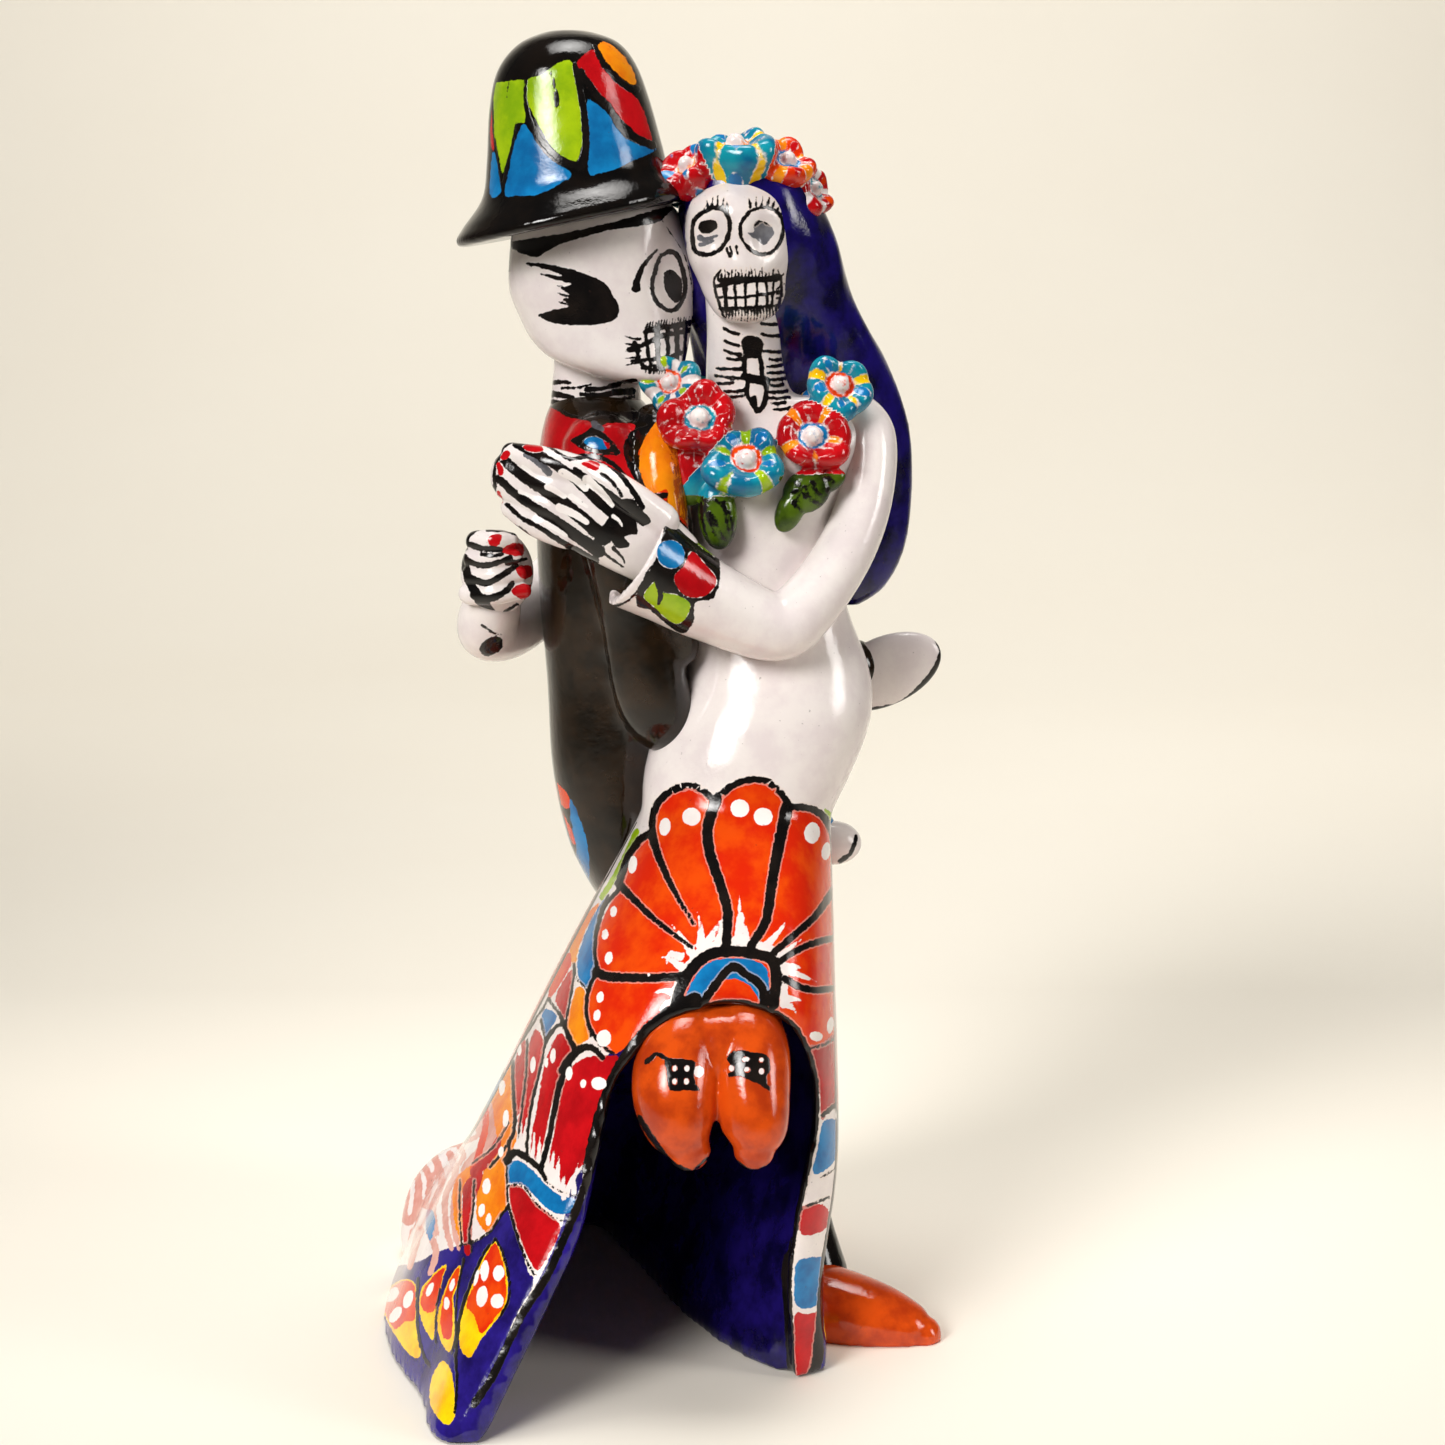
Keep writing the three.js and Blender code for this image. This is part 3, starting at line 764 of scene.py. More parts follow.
FRONT_RIM = -26  # the open front's edge lies before this place along Y
HIPS, SHOULDERS = 127, 203  # heights between which the dress is plain


def smooth_dress(clay):
    """Even out the cut edges and the outside of the skirt, and refine what the front's paint needs."""
    z = clay.co[:, 2]
    from_rim = rim_distance(clay.co)
    near_rim = (clay.co[:, 1] < FRONT_RIM) & (from_rim < 4)
    clay.smooth(9, (near_rim | (z < 2.2)).astype(np.float32), hold=0.0)
    flat = (facing(clay) > -0.3) & outside_of_skirt(clay) & (z > 2) & (z < 133)
    clay.smooth(6, np.where(flat, np.clip((from_rim - 1.5) / 3, 0, 1), 0), hold=0.0)
    seen = (facing(clay) > -0.05) & outside_of_skirt(clay) & (clay.co[:, 2] > -1)
    clay.refine((seen | near_rim & (facing(clay) > -0.3)) & ((z < HIPS) | (z > SHOULDERS)), 4)
    x, _, z = clay.co.T
    clay.refine((facing(clay) > 0.1) & (z > 201) & (z < 232) & (x > -6) & (x < 20), 2)  # chest and neck


def make_dress():
    clay = dress()
    smooth_dress(clay)
    piece = Piece("bride_dress", clay)
    x, y, z = clay.co.T
    fold = (x < -50) & (y > 22) & (z < 24)  # the bundle at the back left
    outer = outside_of_skirt(clay) | (fold & (z < 3))
    # all but the skirt's outside takes the darker inside cobalt, painted shade for the hollow
    piece.paint["deep"] = np.where(outer, -0.7, 3.0).astype(np.float32)
    piece.paint["pink"] = np.where(fold & outer, 2 * wobble(clay.co, 14, 2) - 0.4, FAR).astype(np.float32)
    axis = np.interp(z, *np.array(SKIRT_AXIS).T)
    front, back = piece.halves((axis, 0), SKIRT_UNROLLED, SKIRT_RIGHT, SKIRT_LEFT, outer)
    paint_skirt_back(back)
    paint_skirt_flower(front.zoom(*FLOWER_WINDOW))
    paint_skirt_left(front.zoom(*FIELDS_WINDOW))
    paint_lobe(front.zoom(*LOBE_WINDOW, bold=1.9))
    paint_train(front.zoom(*TRAIN_WINDOW))
    paint_right_strip(front.zoom(*STRIP_WINDOW))
    paint_ribs(front.zoom(*CHEST_WINDOW, bold=1.3))
    paint_rim(piece)
    return piece


def paint_rim(piece):
    """The edge of the open front: cobalt on the left, black on the right, and a black line left of it."""
    x, y, z = piece.clay.co.T
    rim = piece.side((y < -25) & (z < 95), np.column_stack([x, z]))
    rim.stroke("cobalt", 9, 9, *ARCH[:7])
    rim.stroke("ink", 3.8, 1.6, *ARCH[6:])
    edge = piece.front((y < FRONT_RIM) & (rim_distance(piece.clay.co) < 10))
    edge.stroke("ink", 16, 12, (694, 1000), (660, 1021), (632, 1050), (611, 1087), (597, 1130), (588, 1170))
    edge.stroke(
        "ink", 9, 8, (672, 1018), (641, 1050), (621, 1075), (610, 1104), (601, 1130), (589, 1173),
        (576, 1210), (562, 1243),
        (546, 1278), (523, 1313), (506, 1348), (492, 1378), (474, 1404),
    )


def paint_skirt_back(c):
    """Rows of petals over a cobalt hem on the sides that the photograph doesn't show."""
    FIRST, LAST = 26, 180
    c.band("cobalt", -9, 22)
    c.band("blue", 50.5, 57.5)
    for x in np.arange(FIRST, LAST, 16.5):  # tall petals with dots at their tips
        c.patch(
            "orange", (x - 7, 59), (x - 7.6, 85), (x - 6, 103), (x, 111), (x + 6, 103), (x + 7.6, 85),
            (x + 7, 59),
        )
        c.stroke(
            "ink", 2.2, 2.2, (x - 8, 58), (x - 8.2, 86), (x - 6.5, 104), (x, 112), (x + 6.5, 104),
            (x + 8.2, 86), (x + 8, 58),
        )
        for aside in (-2.8, 2.8):
            c.dab("dot", (x + aside, 102.5), (1.5, 2.4))
        for aside in (-4.5, -1.5, 1.5, 4.5):
            c.stroke(
                "white", 2.8, 0.4, (x + aside, 59), (x + 1.1 * aside, 66), (x + 1.2 * aside, 75 - abs(aside)),
            )
    for height in (50, 58):
        c.band("ink", height - 0.8, height + 0.8)
    for i, x in enumerate(np.arange(FIRST, LAST, 11)):  # short petals that hang
        c.patch(
            ("red", "amber")[i % 2], (x - 4.4, 49), (x - 4.8, 36), (x - 3, 27.5), (x, 25), (x + 3, 27.5),
            (x + 4.8, 36), (x + 4.4, 49),
        )
        c.stroke(
            "ink", 1.6, 1.6, (x - 5.4, 50), (x - 5.6, 36), (x - 3.6, 26), (x, 23.6), (x + 3.6, 26),
            (x + 5.6, 36), (x + 5.4, 50),
        )
        c.dab("dot", (x, 31), (1.2, 2.6))
    for x in np.arange(FIRST, LAST, 13):  # drops on the hem
        c.patch("yellow", (x, 20.5), (x - 4, 13), (x - 3.6, 7), (x, 3.5), (x + 3.6, 7), (x + 4, 13))
        c.patch("orange", (x, 20), (x - 3.6, 14), (x - 2.6, 10.5), (x, 9.5), (x + 2.6, 10.5), (x + 3.6, 14))
        c.dab("dot", (x, 14), (1.1, 2))
        c.stroke("blue", 0.5, 1.6, (x + 6.5, 19), (x + 6.2, 11), (x + 6.5, 3))


def paint_skirt_flower(c):
    """The big half flower over the open front."""
    c.patch(
        "orange", (262, 1048), (200, 1000), (168, 930), (168, 850), (200, 770), (195, 690), (210, 600),
        (260, 490), (300, 380), (350, 285), (405, 250), (420, 160), (490, 104), (560, 105), (615, 150),
        (680, 98), (760, 76), (840, 100), (885, 165), (960, 172), (1020, 220), (1058, 330), (1062, 450),
        (1085, 560), (1080, 700), (1075, 850), (1050, 990), (960, 1030), (925, 975), (850, 900), (640, 880),
        (480, 893), (400, 940), (330, 1000),
    )
    outline = 26
    for line in (
        ((262, 1048), (215, 1010), (172, 940), (166, 860), (180, 800), (200, 762)),
        ((205, 745), (196, 690), (202, 610), (232, 520), (278, 465)),
    ):
        c.stroke("ink", 13, 15, *line)
    for line in (
        ((285, 430), (312, 350), (355, 285), (400, 258)),
        ((402, 270), (402, 200), (430, 140), (490, 100), (550, 94), (618, 135)),
        ((632, 142), (680, 92), (750, 70), (810, 76), (860, 118), (885, 160)),
        ((888, 168), (950, 170), (1000, 192), (1036, 245), (1056, 325), (1062, 430)),
    ):
        c.stroke("ink", outline, outline, *line)
    for start, end, line in (
        (34, 30, ((200, 755), (250, 773), (380, 776), (500, 772))),
        (30, 14, ((280, 440), (330, 492), (420, 578), (540, 668))),
        (34, 14, ((398, 262), (420, 335), (470, 450), (548, 585))),
        (40, 34, ((625, 150), (598, 240), (605, 330), (638, 430), (668, 540), (662, 675))),
        (44, 30, ((880, 170), (850, 310), (828, 430), (806, 570), (752, 662))),
        (26, 24, ((1055, 450), (990, 545), (912, 620), (828, 690))),
        (24, 22, ((1070, 630), (1000, 645), (920, 676), (850, 722))),
        (26, 22, ((872, 778), (920, 806), (980, 820), (1060, 812))),
        (10, 10, ((955, 1028), (1010, 1016), (1060, 985))),
    ):
        c.stroke("ink", start, end, *line)
    c.stroke(
        "white", 30, 30, (478, 860), (505, 770), (570, 692), (640, 655), (740, 655), (830, 680), (866, 750),
        (868, 850),
    )
    for line in (
        ((540, 690), (505, 630), (466, 582)), ((570, 660), (574, 600), (562, 545)),
        ((600, 650), (620, 610), (640, 575)), ((700, 650), (708, 580), (712, 480)),
        ((735, 650), (730, 600), (722, 545)), ((800, 665), (845, 620), (882, 570)),
        ((860, 700), (890, 670), (930, 640)), ((870, 735), (905, 735), (940, 742)),
        ((880, 750), (935, 770), (985, 790)), ((500, 735), (470, 715), (436, 702)),
        ((500, 700), (465, 690), (450, 730)), ((480, 830), (440, 822), (405, 830)),
        ((480, 860), (445, 872), (420, 905)), ((875, 850), (905, 850), (935, 858)),
        ((870, 870), (895, 880), (915, 905)), ((640, 640), (650, 590), (655, 560)),
    ):
        c.stroke("white", 30, 3, *line)
    c.patch(
        "blue", (510, 884), (528, 820), (570, 750), (620, 714), (700, 706), (760, 712), (806, 742),
        (816, 800), (812, 868), (700, 878), (600, 880),
    )
    c.wipe(["blue"], (592, 900), (612, 830), (655, 785), (712, 785), (762, 822), (778, 900))
    c.stroke(
        "ink", 40, 38, (484, 880), (500, 815), (540, 745), (600, 695), (680, 682), (760, 690), (828, 715),
        (842, 790), (832, 872),
    )
    c.stroke("ink", 30, 30, (574, 876), (622, 806), (684, 738), (738, 766), (792, 812), (798, 872))
    c.stroke("ink", 9, 9, (500, 888), (600, 876), (700, 874), (800, 880))
    DOTS = (
        (215, 845, 13, 21), (203, 910, 12, 21), (228, 992, 26, 30), (262, 540, 12, 20), (232, 622, 12, 19),
        (245, 705, 14, 23), (330, 373, 15, 32), (445, 238, 20, 32), (540, 202, 33, 32), (712, 172, 34, 32),
        (795, 202, 34, 32), (970, 260, 28, 38), (1020, 325, 16, 32), (1048, 395, 7, 28), (1035, 945, 12, 30),
        (985, 985, 24, 17), (388, 765, 7, 7),
    )
    for x, y, rx, ry in DOTS:
        c.dab("dot", (x, y), (rx, ry), 8)
    c.stroke("lime", 22, 20, (345, 255), (315, 320), (270, 410), (220, 490))
    c.patch(
        "lime", (1012, 178), (1040, 190), (1075, 290), (1090, 400), (1085, 460), (1068, 440), (1066, 330),
        (1042, 245),
    )


def paint_skirt_left(c):
    """The small fields and the red petals left of the flower."""
    c.patch("amber", (525, 270), (450, 340), (400, 430), (392, 505), (412, 548), (432, 470), (472, 370))
    c.patch("orange", (388, 490), (340, 560), (305, 640), (296, 695), (330, 660), (380, 580), (398, 535))
    c.patch(
        "blue", (556, 240), (505, 310), (452, 425), (426, 520), (428, 600), (460, 644), (486, 610),
        (518, 572), (502, 500), (502, 430), (524, 330),
    )
    c.patch("red", (402, 566), (368, 604), (330, 684), (346, 742), (370, 785), (388, 700), (412, 604))
    c.patch(
        "amber", (424, 640), (456, 652), (466, 700), (466, 780), (484, 848), (442, 890), (404, 908),
        (376, 826), (400, 700),
    )
    c.patch("blue", (290, 735), (336, 768), (310, 822), (290, 864), (268, 802), (270, 758))
    FIELD_EDGES = (
        (13, 10, (412, 545), (403, 640), (374, 792)),
        (12, 26, (302, 700), (348, 762), (380, 840), (412, 912)),
        (20, 16, (288, 872), (330, 816), (372, 800)), (12, 10, (264, 780), (280, 850), (288, 880)),
        (10, 10, (408, 540), (424, 605), (466, 652)),
        (44, 22, (362, 1005), (400, 942), (452, 905), (502, 914), (534, 950)),
        (12, 12, (466, 652), (466, 740), (470, 800), (484, 860)),
        (12, 8, (560, 240), (530, 300), (504, 400), (498, 500), (520, 575)),
        (10, 9, (300, 690), (270, 740), (230, 800), (190, 870)),
    )
    c.strokes("ink", *FIELD_EDGES)
    c.patch(
        "red", (606, 952), (560, 940), (480, 945), (420, 970), (375, 1030), (342, 1150), (322, 1280),
        (302, 1400), (340, 1452), (366, 1524), (402, 1470), (470, 1390), (500, 1270), (522, 1150),
        (560, 1050),
    )
    c.patch(
        "red", (345, 845), (308, 900), (278, 1000), (250, 1150), (224, 1300), (222, 1380), (254, 1400),
        (282, 1300), (310, 1170), (342, 1060), (384, 970), (402, 908), (372, 860),
    )
    c.patch(
        "red", (240, 826), (212, 900), (200, 1000), (188, 1100), (164, 1250), (178, 1310), (206, 1250),
        (230, 1130), (260, 1020), (280, 900), (266, 850),
    )
    c.patch(
        "red", (200, 868), (164, 920), (148, 1000), (150, 1100), (158, 1210), (182, 1150), (196, 1050),
        (202, 950),
    )
    for line in (
        ((330, 1500), (340, 1420), (345, 1380)), ((365, 1560), (362, 1500), (372, 1440)),
        ((300, 1470), (316, 1400), (322, 1350)), ((410, 1540), (410, 1470), (430, 1410)),
        ((460, 1480), (462, 1420), (474, 1380)), ((226, 1420), (232, 1340), (238, 1270)),
        ((250, 1420), (258, 1350), (262, 1290)), ((170, 1340), (176, 1260), (178, 1200)),
        ((190, 1350), (196, 1280), (206, 1200)),
    ):
        c.stroke("white", 26, 3, *line)
    PETAL_EDGES = (
        (30, 22, (384, 985), (350, 1060), (324, 1180), (300, 1300), (266, 1440)),
        (12, 14, (286, 880), (262, 1000), (226, 1150), (206, 1300), (206, 1400)),
        (10, 9, (206, 870), (202, 1000), (186, 1150), (166, 1300)),
        (9, 9, (146, 960), (146, 1080), (156, 1200), (150, 1260), (110, 1340)),
    )
    c.strokes("ink", *PETAL_EDGES)
    c.patch(
        "amber", (136, 950), (84, 1010), (42, 1080), (50, 1150), (74, 1250), (86, 1330), (112, 1290),
        (152, 1230), (150, 1150), (142, 1050),
    )
    c.patch(
        "amber", (152, 1260), (110, 1340), (60, 1400), (20, 1480), (-10, 1580), (104, 1580), (116, 1400),
        (162, 1300),
    )
    c.stroke("orange", 26, 30, (60, 1030), (26, 1140), (24, 1250), (0, 1350), (-30, 1440))
    DOTS = (
        (388, 1018, 15, 30), (450, 1062, 14, 19), (518, 1062, 34, 28), (318, 940, 12, 34), (290, 972, 8, 22),
        (230, 980, 12, 36), (172, 915, 9, 26), (96, 1080, 14, 34), (112, 1214, 13, 38), (92, 1360, 12, 24),
        (28, 1510, 18, 34),
    )
    for x, y, rx, ry in DOTS:
        c.dab("dot", (x, y), (rx, ry), 5)


def paint_train(c):
    """The train's front left, down to its tip."""
    c.patch(
        "cobalt", (625, 540), (690, 700), (722, 820), (746, 850), (736, 900), (700, 960), (650, 1060),
        (620, 1150), (580, 1290), (520, 1390), (440, 1480), (420, 1600), (300, 1640), (240, 1500),
        (200, 1350), (120, 1250), (50, 1130), (10, 1000), (30, 890), (110, 815), (250, 780), (330, 740),
        (420, 710), (500, 690), (560, 650), (600, 590),
    )
    c.patch(
        "blue", (628, 380), (650, 350), (690, 350), (740, 385), (790, 440), (850, 490), (930, 516),
        (906, 566), (860, 576), (800, 552), (750, 500), (700, 452), (636, 440),
    )
    c.patch(
        "red", (640, 458), (690, 458), (750, 522), (800, 562), (852, 612), (856, 660), (804, 766), (766, 816),
        (736, 790), (690, 690), (656, 580),
    )
    c.patch(
        "amber", (664, 200), (620, 330), (560, 380), (510, 430), (500, 520), (500, 590), (530, 642),
        (556, 652), (602, 580), (632, 530), (628, 400), (658, 300),
    )
    c.patch(
        "red", (520, 400), (450, 440), (440, 520), (440, 640), (450, 742), (476, 742), (482, 620), (492, 520),
        (525, 430),
    )
    c.patch(
        "amber", (570, 300), (470, 370), (408, 430), (398, 520), (408, 620), (436, 705), (442, 600),
        (438, 500), (472, 420), (580, 340),
    )
    EDGES = (
        (40, 16, (632, 345), (662, 312), (705, 328), (770, 380), (802, 436)),
        (10, 8, (800, 440), (860, 478), (935, 498)),
        (10, 10, (640, 452), (700, 456), (760, 532), (830, 588), (876, 606)),
        (12, 14, (636, 540), (682, 690), (722, 790), (752, 838)), (9, 9, (630, 380), (632, 460), (636, 530)),
        (12, 12, (640, 540), (600, 590), (560, 650), (500, 690), (430, 712)),
        (14, 14, (582, 684), (530, 750), (478, 870), (436, 990), (420, 1090), (412, 1190), (416, 1300),
         (408, 1430)),
        (12, 12, (582, 684), (612, 740), (640, 850), (640, 940), (600, 1020)),
        (13, 13, (250, 850), (246, 960), (250, 1080), (272, 1180), (300, 1230)),
        (9, 9, (342, 900), (326, 1010), (326, 1130)),
        (12, 10, (446, 770), (420, 900), (412, 1000), (412, 1100), (392, 1180)),
        (10, 10, (660, 20), (665, 120), (655, 230), (628, 330)),
        (10, 8, (640, 180), (600, 250), (560, 300), (480, 360)), (10, 8, (430, 430), (428, 560), (436, 700)),
        (10, 10, (490, 430), (486, 560), (470, 650), (480, 740)),
    )
    c.strokes("ink", *EDGES)
    petals = (
        ((190, 855), (236, 876), (246, 960), (240, 1050), (264, 1172), (226, 1190), (160, 1112), (106, 1010),
         (98, 950), (130, 888)),
        ((372, 790), (310, 840), (264, 900), (254, 980), (274, 1060), (312, 1116), (326, 1050), (336, 950),
         (352, 870)),
        ((432, 795), (385, 850), (350, 950), (332, 1050), (350, 1130), (386, 1168), (406, 1100), (406, 1000),
         (402, 930), (426, 870)),
        ((582, 690), (530, 760), (480, 880), (440, 1000), (424, 1080), (434, 1160), (476, 1192), (510, 1130),
         (570, 1050), (622, 980), (636, 900), (626, 800)),
    )
    c.patches("yellow", *petals)
    c.patch(
        "orange", (190, 862), (232, 880), (240, 960), (232, 1030), (190, 1040), (150, 1070), (108, 1000),
        (104, 950), (132, 896),
    )
    c.patch("orange", (366, 800), (312, 846), (272, 905), (262, 970), (290, 1000), (326, 980), (346, 880))
    c.patch(
        "orange", (426, 806), (388, 856), (356, 950), (346, 1040), (362, 1110), (392, 1100), (398, 1000),
        (396, 930), (420, 870),
    )
    c.patch(
        "orange", (582, 700), (534, 768), (488, 880), (458, 970), (490, 1010), (520, 1090), (562, 1046),
        (614, 976), (628, 900), (618, 806),
    )
    c.patch(
        "yellow", (350, 1208), (308, 1280), (300, 1380), (336, 1452), (376, 1482), (408, 1440), (406, 1330),
        (386, 1240),
    )
    c.stroke("white", 22, 8, (890, 470), (930, 400), (985, 350))
    for x, y, rx, ry, turn in (
        (140, 922, 22, 36, 35), (207, 942, 20, 40, 20), (152, 1008, 20, 40, 35), (536, 820, 18, 45, 5),
        (596, 830, 24, 34, 10), (524, 930, 24, 45, 10), (590, 950, 28, 32, 10), (500, 850, 8, 40, 15),
        (545, 450, 14, 28, 10), (522, 560, 14, 30, 10), (552, 600, 12, 28, 5), (372, 960, 12, 28, 0),
        (396, 880, 10, 30, 15), (300, 900, 12, 32, 25),
    ):
        c.dab("dot", (x, y), (rx, ry), turn)
    c.patch(
        "cobalt", (1075, 60), (1030, 200), (980, 400), (930, 560), (870, 700), (800, 850), (700, 1000),
        (620, 1150), (560, 1280), (440, 1450), (400, 1620), (620, 1620), (700, 1400), (900, 1000),
        (1100, 500), (1200, 60),
    )
    c.patch("blue", (288, 560), (318, 570), (322, 630), (300, 690), (284, 640))


def paint_lobe(c):
    """The fold at the back left, and the bands that run down to it."""
    for width, points in (
        (16, ((105, 490), (78, 550), (66, 620), (82, 664), (106, 640), (116, 560), (106, 500))),
        (12, ((128, 492), (150, 540), (138, 610))), (12, ((165, 474), (186, 540), (160, 620), (170, 700))),
        (12, ((210, 462), (226, 520), (196, 590), (200, 690), (215, 745))),
        (14, ((120, 690), (105, 740), (90, 800))), (12, ((150, 700), (168, 760), (150, 820))),
        (10, ((110, 460), (170, 440), (240, 430), (290, 410))), (12, ((128, 610), (150, 620), (170, 600))),
        (10, ((240, 440), (250, 470), (230, 500))),
    ):
        c.stroke("pink", width, width * 0.7, *points)
    c.patch("pink", (288, 400), (330, 420), (344, 300), (350, 250), (320, 290), (296, 350))
    c.patch(
        "pink", (344, 262), (322, 320), (318, 390), (292, 440), (244, 500), (262, 520), (330, 460),
        (356, 410), (350, 330),
    )
    c.patch(
        "amber", (396, 190), (352, 250), (340, 330), (350, 420), (330, 470), (300, 500), (330, 520),
        (390, 460), (400, 390), (398, 300),
    )
    c.patch("red", (350, 410), (320, 460), (270, 512), (290, 530), (340, 480), (364, 430))
    c.patch("pink", (222, 560), (210, 640), (222, 720), (240, 750), (232, 660), (240, 580))
    c.stroke("ink", 5, 5, (398, 190), (400, 300), (404, 390), (372, 450), (330, 500))


def paint_right_strip(c):
    """The narrow right side of the skirt."""
    c.patch(
        "red", (850, 255), (905, 235), (960, 205), (1000, 300), (990, 420), (930, 488), (902, 520),
        (896, 440), (880, 340),
    )
    c.patch("blue", (905, 535), (950, 520), (1010, 560), (970, 640), (930, 700), (870, 722), (890, 620))
    c.patch("red", (818, 852), (905, 838), (940, 900), (900, 940), (850, 955), (820, 935))
    c.patch("blue", (808, 1060), (840, 1040), (920, 1045), (920, 1180), (850, 1225), (804, 1210), (800, 1130))
    c.patch("red", (800, 1262), (850, 1248), (940, 1250), (940, 1500), (790, 1500))
    FIELD_EDGES = (
        (16, 20, (905, 505), (950, 470), (1000, 440)), (10, 10, (840, 848), (880, 832), (930, 812)),
        (26, 16, (985, 420), (1000, 460), (1010, 500)), (8, 8, (900, 740), (930, 720), (960, 700)),
    )
    c.strokes("ink", *FIELD_EDGES)
    c.dab("dot", (972, 506), (18, 26))


def paint_ribs(c):
    """The bones painted on the bride's neck and chest."""
    c.patch("ink", (640, -10), (690, -22), (742, -5), (748, 50), (730, 92), (660, 92), (638, 40))
    BREASTBONE = (
        (20, 20, (652, 90), (650, 140), (658, 195)), (20, 20, (730, 90), (740, 140), (744, 195)),
        (34, 40, (650, 190), (700, 205), (762, 215)),
        (20, 20, (668, 230), (664, 280), (690, 330), (716, 372)),
        (22, 18, (764, 220), (764, 280), (752, 340), (728, 372)), (20, 8, (700, 300), (712, 350), (740, 362)),
    )
    c.strokes("ink", *BREASTBONE)
    left = (
        (540, -62, 622, -30), (548, 2, 620, 30), (545, 55, 632, 78), (560, 96, 640, 100),
        (505, 148, 640, 150), (500, 185, 640, 200), (500, 228, 590, 222), (545, 268, 650, 262),
        (548, 296, 640, 292),
    )
    right = (
        (740, -85, 850, -85), (742, -30, 838, -22), (742, 55, 855, 62), (782, 100, 840, 102),
        (770, 138, 862, 128), (772, 172, 860, 166), (770, 206, 872, 200), (792, 236, 850, 232),
        (770, 272, 872, 266), (780, 302, 884, 300), (792, 332, 862, 326), (802, 362, 884, 356),
    )
    for x, y, u, v in left + right:
        c.stroke("ink", 12, 17, (x, y), ((x + u) / 2, (y + v) / 2 + 4), (u, v))
    c.patch("red", (320, 420), (480, 540), (480, 700), (430, 800), (380, 840), (330, 640))


# The bride's other parts

def bride_sleeves():
    left = limb([
        (25, 5, 208, 7), (31.5, 2, 203.5, 6.3), (31, -3, 191, 6.2), (26.5, -8, 179, 6.4),
        (18, -13, 167.5, 6.8), (11, -15, 163.5, 7.4), (-3, -17, 169.4, 8.8), (-11, -18.5, 174.2, 9.9),
        (-18.2, -20, 178.9, 11.4),
    ], 48, 90, mouth=7)
    right = limb([
        (-2, 10, 207, 7), (-16, 33, 194, 7), (-34, 34, 172, 7.3), (-46, 20, 161, 7.6), (-52, 7, 160, 7.2),
        (-51, 2, 166, 6.5),
    ], 40, 60)
    clay = Clay(mesh_of("sleeves", [left, right]), "sleeves")
    clay.refine((clay.co[:, 0] < 4) & (facing(clay) > -0.2))
    return clay


def hand(palm, knuckles, tips, radius):
    """A mitten-like hand: a palm, and fingers side by side from a knuckle line to their tips."""
    CURL = 1.5
    parts = [palm]
    for start, tip in zip(np.array(knuckles), np.array(tips)):
        middle = (start + tip) / 2 - (0, CURL, 0)
        parts.append(limb([(*start, radius), (*middle, radius * 1.05), (*tip, radius * 0.7)], 24, 20))
    return parts


def row(count, start, step):
    """Points side by side, from one place by equal steps."""
    return [np.array(start) + i * np.array(step) for i in range(count)]


def bride_hands():
    FINGERS = 4
    palm = limb([
        (-43.5, -15.5, 196, 6.2), (-37, -17.5, 193.6, 8), (-29.5, -19, 189.8, 9.4), (-20.5, -20, 184.8, 9),
        (-12, -19, 179, 7.6),
    ], 40, 50, flat=0.72)
    knuckles = row(FINGERS, (-29.5, -22.5, 197.4), (-1.2, 0.5, -4.4))
    left = hand(palm, knuckles, row(FINGERS, (-44.8, -15.8, 200.9), (-0.1, 0.2, -3.9)), 3.3)
    thumb = limb([(-13, -22, 187, 4), (-21, -24.5, 193.5, 3.4), (-29, -22.5, 198.2, 2.6)], 24, 24)
    knuckles = row(FINGERS, (-53.5, -4.5, 180.8), (-0.6, 0, -3.8))
    palm = egg((-49.5, -1, 173.7), (8, 6.5, 9.4), 0, 40)
    right = hand(palm, knuckles, row(FINGERS, (-46, -6.8, 181.4), (0.9, 0, -3.7)), 2.5)
    return Clay(mesh_of("hands", [*left, thumb, *right]), "hands")


def bride_skull():
    skull = column([
        (228, 5, -6, 2.5, 2.5), (229.5, 5, -4.5, 6, 6.5), (233, 4.8, -2, 8.4, 9.5), (237, 4.4, 0, 9.8, 11.5),
        (242, 4, 1, 11.6, 12.8), (248, 3.8, 1.5, 12.3, 13.2), (254, 3.6, 2, 11, 12), (259, 3.5, 3, 7, 8),
    ], 72, 60)
    clay = Clay(mesh_of("skull", [skull]), "skull")
    for x, z in ((-2, 245.5), (9.3, 246)):
        clay.dent((x, -11.5, z), (3.4, 6, 3.9), 2.0)
    clay.dent((3.4, -12, 239.5), (2.2, 4, 2.6), -0.5)  # nose
    for x in (-4.5, 12):
        clay.dent((x, -8, 237), (3, 4, 3), 0.6)  # cheeks
    clay.refine(facing(clay) > 0.05)
    return clay


def bride_hair():
    hair = column([
        (163.5, 29, 20, 2, 1.5), (168, 28, 20, 9, 5), (177, 24, 20, 17.5, 7), (190, 22, 20, 21, 8),
        (205, 19, 18, 23, 8.5), (220, 15, 15, 21.5, 10.5), (233, 10, 11, 18.8, 13), (246, 7.5, 7, 17, 14),
        (257, 5, 5, 14, 12), (263, 4, 4, 8, 7), (264.5, 4, 4, 2, 2),
    ], 96, 80)
    clay = Clay(mesh_of("hair", [hair]), "hair")
    x, y, z = (clay.co - (8, 16, 0)).T
    around = np.arctan2(y, x) * 17
    locks = np.sin(around * 0.42 + 0.02 * z + 1.5 * wobble(clay.co, 60, 3))
    locks += 0.4 * np.sin(around * 1.1 + 0.03 * z)
    clay.push(0.35 * locks * np.clip((262 - clay.co[:, 2]) / 20, 0, 1))
    return clay


